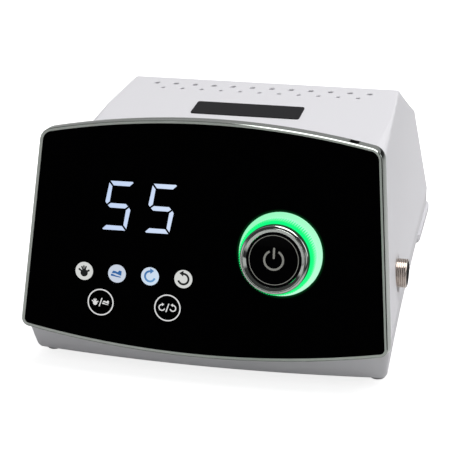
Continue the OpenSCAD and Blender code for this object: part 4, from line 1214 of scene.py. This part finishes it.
@dataclass(frozen=True)
class Knob:
    """The push-and-turn knob and the lit ring round it. Heights are over the glass."""

    x: float = 39.5
    v: float = -3.75
    ring_r: float = 21.2
    ring_bore: float = 5.2
    flange_r: float = 22.6
    flange_n: tuple[float, float] = (-7.5, -5.5)
    skirt_r: float = 19.0
    teeth: int = 96
    tooth: float = 0.5
    foot: float = 1.6
    skirt_top: float = 11.5
    hollow_r: float = 15.7
    hollow_top: float = 8.5
    hub_r: float = 5.6
    shaft_r: float = 3.05
    shaft_top: float = 10.0
    seat: float = 12.1
    seat_r: float = 16.2
    front: float = 18.7
    chrome_r: float = 17.2
    band_r: float = 1.5
    neck_top: float = 1.9
    cap_r: float = 13.75
    cap_sink: float = 0.75
    dish: float = 0.02
    mark_r: float = 12.4
    sign_r: float = 5.2

    def place(self) -> Placement:
        """Returns the frame on the glass at the knob's axis."""
        return GLASS.moved(self.x, self.v)

    def skirt(self) -> None:
        """Turns the skirt, whose radius dips between its chamfers and so makes the knurl.

        The dip goes with 1 - |sin(angle teeth / 2)|^0.8. The ridge attribute grows with the height on the
        skirt and on the tooth.
        """
        r, foot, top = self.skirt_r, self.foot, self.skirt_top
        rows = np.linspace(top - 0.5, foot + 0.5, 12)
        profile = np.concatenate([
            [[0, self.seat], [self.seat_r, self.seat], [self.seat_r, top], [r - 0.6, top]],
            np.stack([np.full_like(rows, r), rows], axis=-1),
            [[r - 0.5, foot], [self.hollow_r, foot], [self.hollow_r, self.hollow_top],
             [self.hub_r, self.hollow_top], [self.hub_r, foot], [self.shaft_r, foot],
             [self.shaft_r, self.shaft_top], [0, self.shaft_top]]])
        steps = 8 * self.teeth
        gaps = 1 - np.abs(np.sin(self.teeth / 2 * turn_angles(steps))) ** 0.8
        dip = np.where(profile[:, :1] == r, self.tooth * gaps, 0)
        made = Skin(self.place()).turned(profile, steps, dip=dip).solid("knob_skirt")
        flat = np.empty(3 * len(made.data.vertices), np.float32)
        made.data.vertices.foreach_get("co", flat)
        x, v, n = self.place().local(flat.reshape(-1, 3)).T
        tooth = (np.hypot(x, v) - r + self.tooth) / self.tooth
        rise = (n - foot) / (top - foot)
        share = np.where(rise > 0.99, 1, 6 * (rise + tooth - 1.15))
        ridge = made.data.attributes.new("ridge", "FLOAT", "POINT")
        ridge.data.foreach_set("value", np.clip(share, 0, 1).astype(np.float32))
        dress(made, KNURL, Body.KNOB, ("knob_body",), sharp=60)

    def chrome(self) -> None:
        """Turns the ring: a neck painted black as the shade line at its foot, a round chrome band, a fine
        groove and a bevel down to the cap.
        """
        inner, r, top, neck = self.cap_r + 0.1, self.chrome_r, self.front, self.front - self.neck_top
        groove = top - 0.75
        profile = np.concatenate([
            [[inner, self.seat], [r - 1.4, self.seat]], arc(r - 1.0, self.seat + 1.0, 1.0, -80, 0, 8),
            arc(r - self.band_r, neck, self.band_r, 0, 78, 16), [[r - 1.3, groove], [r - 1.5, groove]],
            arc(r - 1.85, top - 0.3, 0.3, 20, 116, 8), [[inner, top - 0.95]]])
        made = Skin(self.place()).turned(profile, 128, closed=True).solid("knob_chrome")
        dress(made, CHROME, Body.KNOB, ("knob_ring",), sharp=38)
        # The outer faces below the neck take the black finish: painted shade in the gap between chrome and
        # skirt
        centres, normals = faces_in(made, self.place())
        outward = (centres[:, :2] * normals[:, :2]).sum(axis=1) > 0
        mask(made, (centres[:, 2] < neck) & outward, BLACK_ABS_AND_SHADE)

    def cap(self) -> None:
        """Turns the black cap and lays its silver circle and standby sign."""
        top, foot, edge = self.front - self.cap_sink, self.seat + 0.05, 0.45
        face = top - self.dish
        profile = np.concatenate([[[0, foot], [self.cap_r, foot]],
                                  arc(self.cap_r - edge, top - edge, edge, 0, 90, 6),
                                  [[12.9, top], [12.8, face], [0, face]]])
        made = Skin(self.place()).turned(profile, 96).solid("knob_face")
        dress(made, BLACK_CAP, Body.KNOB, ("knob_cap",))
        print_place = self.place().moved(0, 0, face)
        SIGNS.ring("knob_circle", print_place, self.mark_r, 0.3, SILVER_INK, "knob_tint", Body.KNOB)
        r = self.sign_r
        loop = np.concatenate([arc(0, 0, r, 118, 422, 60), arc(0, 0, r - 1, 422, 118, 60)])
        bar = rounded(1.0, 5.4, 0.2) + [0, 3.4]
        SIGNS.show("knob_sign", [loop, bar], print_place, SILVER_INK, body=Body.KNOB)

    def ring(self) -> None:
        """Turns the diffuser ring, flat-faced with a soft outer edge."""
        low, high = self.flange_n
        profile = np.concatenate([
            [[self.ring_bore, low], [self.flange_r, low], [self.flange_r, high], [self.ring_r, high]],
            arc(self.ring_r - 0.4, 0.1, 0.4, 0, 90, 6), [[17.2, 0.5], [16.2, -0.5], [self.ring_bore, -0.5]]])
        made = Skin(self.place()).turned(profile, 128, closed=True).solid("knob_halo_ring")
        dress(made, RING_LIT, nodes=("light_ring",))

    def build(self) -> None:
        """Makes the ring and the three pieces of the knob."""
        self.ring()
        self.skirt()
        self.chrome()
        self.cap()


KNOB = Knob()
# Panel: polished black glass, a dim mirror with the ring's light in its edge; waves 8 mm across
PANEL = EdgeLit("polished black glass", "#020203", "#010101", (0.03, 0.05), 8.0, gloss=0.05,
                centre_mm=GLASS.spot(KNOB.x, KNOB.v), opening_mm=21.3, reach_mm=1.6)

CAD_FINISHES: dict[Finish, tuple[str, ...]] = {
    SHADED_TRAY_ABS: ("base_tray",),
    PANEL: ("front_panel",),
    BADGE: ("badge_plate",),
    BLACK_ABS_AND_SHADE: ("panel_frame", "tens_digit", "units_digit", "switch_plunger", "socket_insert", "mains_inlet",
                "fuse_drawer", "switch_frame", "foot_jack"),
    RUBBER: ("front_foot_left", "front_foot_right", "rear_pad_left", "rear_pad_right"),
    STEEL: ("case_screws", "board_screws", "main_board_screws", "transformer_screws", "rear_plate_screws",
            "encoder_shaft"),
    BOARD: ("display_board", "main_board"),
    DIGITS: ("tens_segments", "units_segments"),
    LAMP_ON: ("pedal_lens", "forward_lens"),
    LAMP_OFF: ("hand_lens", "reverse_lens"),
    LED: ("indicator_leds", "ring_leds"),
    GOLD: ("mode_key_pad", "direction_key_pad", "socket_contacts"),
    ZINC: ("encoder_body",),
    NICKEL: ("socket_nut", "inlet_pins", "foot_jack_nut"),
    POWDER: ("rear_plate",),
    FUSE: ("fuse",),
    ROCKER_RED: ("switch_rocker",),
    LAMINATE: ("transformer_core",),
    TAPE: ("transformer_coil",),
    SINK: ("heat_sink",),
    EPOXY: ("power_transistors",),
    SLEEVE: ("filter_capacitors",),
    RIBBON: ("display_ribbon",),
}


@dataclass(frozen=True)
class Softbox:
    """A rectangular lamp: its place in millimetres, its width and height in metres and its watts."""

    name: str
    spot: Point
    size: tuple[float, float]
    watts: float

    def hang(self) -> None:
        """Hangs the lamp facing the middle of the console."""
        light = bpy.data.lights.new(self.name, "AREA")
        light.shape, light.size, light.size_y, light.energy = "RECTANGLE", *self.size, self.watts
        made = bpy.data.objects.new(self.name, light)
        made.location = Vector(self.spot) * MM
        made.rotation_mode = "QUATERNION"
        made.rotation_quaternion = (Vector((0, 0, 0.07)) - made.location).to_track_quat("-Z", "Y")
        bpy.context.scene.collection.objects.link(made)


@dataclass(frozen=True)
class Studio:
    """Floor, lamps, surroundings and camera.

    ambient is the level of the surroundings' light and dark that of their darkest part in reflections.
    """

    eye: Point = (178.28, -811.568, 401.71)
    aim: Point = (11.118, -107.258, 83.13)
    roll: float = -1.167
    lens: float = 125.671
    sensor: float = 36.0
    floor_r: float = 6000.0
    ambient: float = 0.46
    dark: float = 0.06
    lamps: tuple[Softbox, ...] = (Softbox("overhead_softbox", (400, 100, 1500), (1.3, 1.2), 18.0),
                                  Softbox("right_softbox", (1450, 450, 450), (1.0, 1.0), 4.5))

    def floor(self) -> None:
        """Lays a round pale floor that keeps the shadow and meets the white surroundings.

        In reflections its right side is dark, which draws the dark line down the right of the rim.
        """
        radii = np.concatenate([[0], np.geomspace(100, self.floor_r, 24)])
        made = Skin(Placement()).turned(np.stack([radii, 0 * radii], axis=-1), 96).solid("floor")
        paint = bpy.data.materials.new("white studio floor")
        tree = empty_tree(paint)
        rays = add_node(tree, "ShaderNodeLightPath").outputs
        where = add_node(tree, "ShaderNodeTexCoord").outputs["Object"]
        noise = add_node(tree, "ShaderNodeTexNoise", {"Vector": where, "Scale": 2.0}).outputs["Fac"]
        across = add_node(tree, "ShaderNodeSeparateXYZ", {0: where}).outputs["X"]
        right = add_node(tree, "ShaderNodeMapRange", {"Value": across, "From Min": 0.15, "From Max": 0.3,
                                                      "To Max": rays["Is Glossy Ray"]}).outputs["Result"]
        tone = linear("#c8c8c8")
        for share, other in ((noise, "#cbcbcb"), (right, "#383838")):
            mix = add_node(tree, "ShaderNodeMix", {0: share, 6: tone, 7: linear(other)}, data_type="RGBA")
            tone = mix.outputs[2]
        matt = add_node(tree, "ShaderNodeBsdfDiffuse", {"Color": tone})
        lift = add_node(tree, "ShaderNodeMapRange", {"Value": rays["Is Camera Ray"], "To Max": 0.8})
        white = add_node(tree, "ShaderNodeEmission", {"Strength": lift.outputs["Result"]})
        both = add_node(tree, "ShaderNodeAddShader", {0: matt.outputs[0], 1: white.outputs[0]})
        add_node(tree, "ShaderNodeOutputMaterial", {"Surface": both.outputs[0]})
        made.data.materials.append(paint)

    def surroundings(self) -> None:
        """Makes the room: white to the eye and soft grey as light.

        In reflections it is light behind and at the left, with two dim screens in front, and dark elsewhere.
        """
        world = bpy.data.worlds.new("room")
        bpy.context.scene.world = world
        tree = empty_tree(world)
        rays = add_node(tree, "ShaderNodeLightPath").outputs
        way = add_node(tree, "ShaderNodeTexCoord").outputs["Generated"]
        axes = add_node(tree, "ShaderNodeSeparateXYZ", {0: way}).outputs
        wide, tall = (add_node(tree, "ShaderNodeMath", {0: axes[axis]}, operation="ABSOLUTE").outputs[0]
                      for axis in "XZ")
        # What each step follows, where it starts and ends, and its levels there
        steps = ((wide, 0.3, 0.45, 0.0, 1.0), (tall, 0.36, 0.2, 0.0, 1.0),
                 (axes["X"], 0.93, 0.83, self.dark, 0.7), (axes["X"], -0.9, -0.99, self.dark, 0.6),
                 (axes["Y"], -0.1, 0.3, self.dark, 0.45))
        aside, level, near, left, behind = (
            add_node(tree, "ShaderNodeMapRange", {"Value": value, "From Min": start, "From Max": end,
                                                  "To Min": low, "To Max": high},
                     interpolation_type="SMOOTHSTEP").outputs["Result"]
            for value, start, end, low, high in steps)
        room = aside
        for other, how in ((level, "MULTIPLY"), (near, "MULTIPLY"), (left, "MAXIMUM"), (behind, "MAXIMUM")):
            room = add_node(tree, "ShaderNodeMath", {0: room, 1: other}, operation=how).outputs[0]
        light = self.ambient
        for ray, value in (("Is Glossy Ray", room), ("Is Camera Ray", 1.0)):
            mix = add_node(tree, "ShaderNodeMix", {0: rays[ray], 2: light, 3: value}, data_type="FLOAT")
            light = mix.outputs[0]
        back = add_node(tree, "ShaderNodeBackground", {"Strength": light})
        add_node(tree, "ShaderNodeOutputWorld", {"Surface": back.outputs[0]})

    def camera(self) -> None:
        """Places the camera: it looks at the aim point and leans by the roll angle about its own axis."""
        data = bpy.data.cameras.new("camera")
        data.lens, data.sensor_width, data.clip_start, data.clip_end = self.lens, self.sensor, 0.01, 50.0
        made = bpy.data.objects.new("camera", data)
        made.location = Vector(self.eye) * MM
        look = (Vector(self.aim) - Vector(self.eye)).to_track_quat("-Z", "Y")
        made.rotation_mode = "QUATERNION"
        made.rotation_quaternion = look @ Quaternion((0, 0, 1), math.radians(self.roll))
        bpy.context.scene.collection.objects.link(made)
        bpy.context.scene.camera = made

    def build(self) -> None:
        """Sets up the whole studio."""
        self.floor()
        self.surroundings()
        for lamp in self.lamps:
            lamp.hang()
        self.camera()
        bpy.context.scene.view_settings.view_transform = "Standard"


def main() -> None:
    """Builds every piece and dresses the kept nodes."""
    logging.basicConfig(level=logging.INFO)
    for part in (Housing(), FASCIA, SIGNS, KNOB, SOCKET, REAR):
        part.build()
        LOG.info("%s built", type(part).__name__)
    for finish, nodes in CAD_FINISHES.items():
        for name in nodes:
            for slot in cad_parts[name].material_slots:
                slot.material = finish.material()
            LOG.info("%s dressed in %s", name, finish.name)
    Studio().build()


if __name__ == "__main__":
    main()
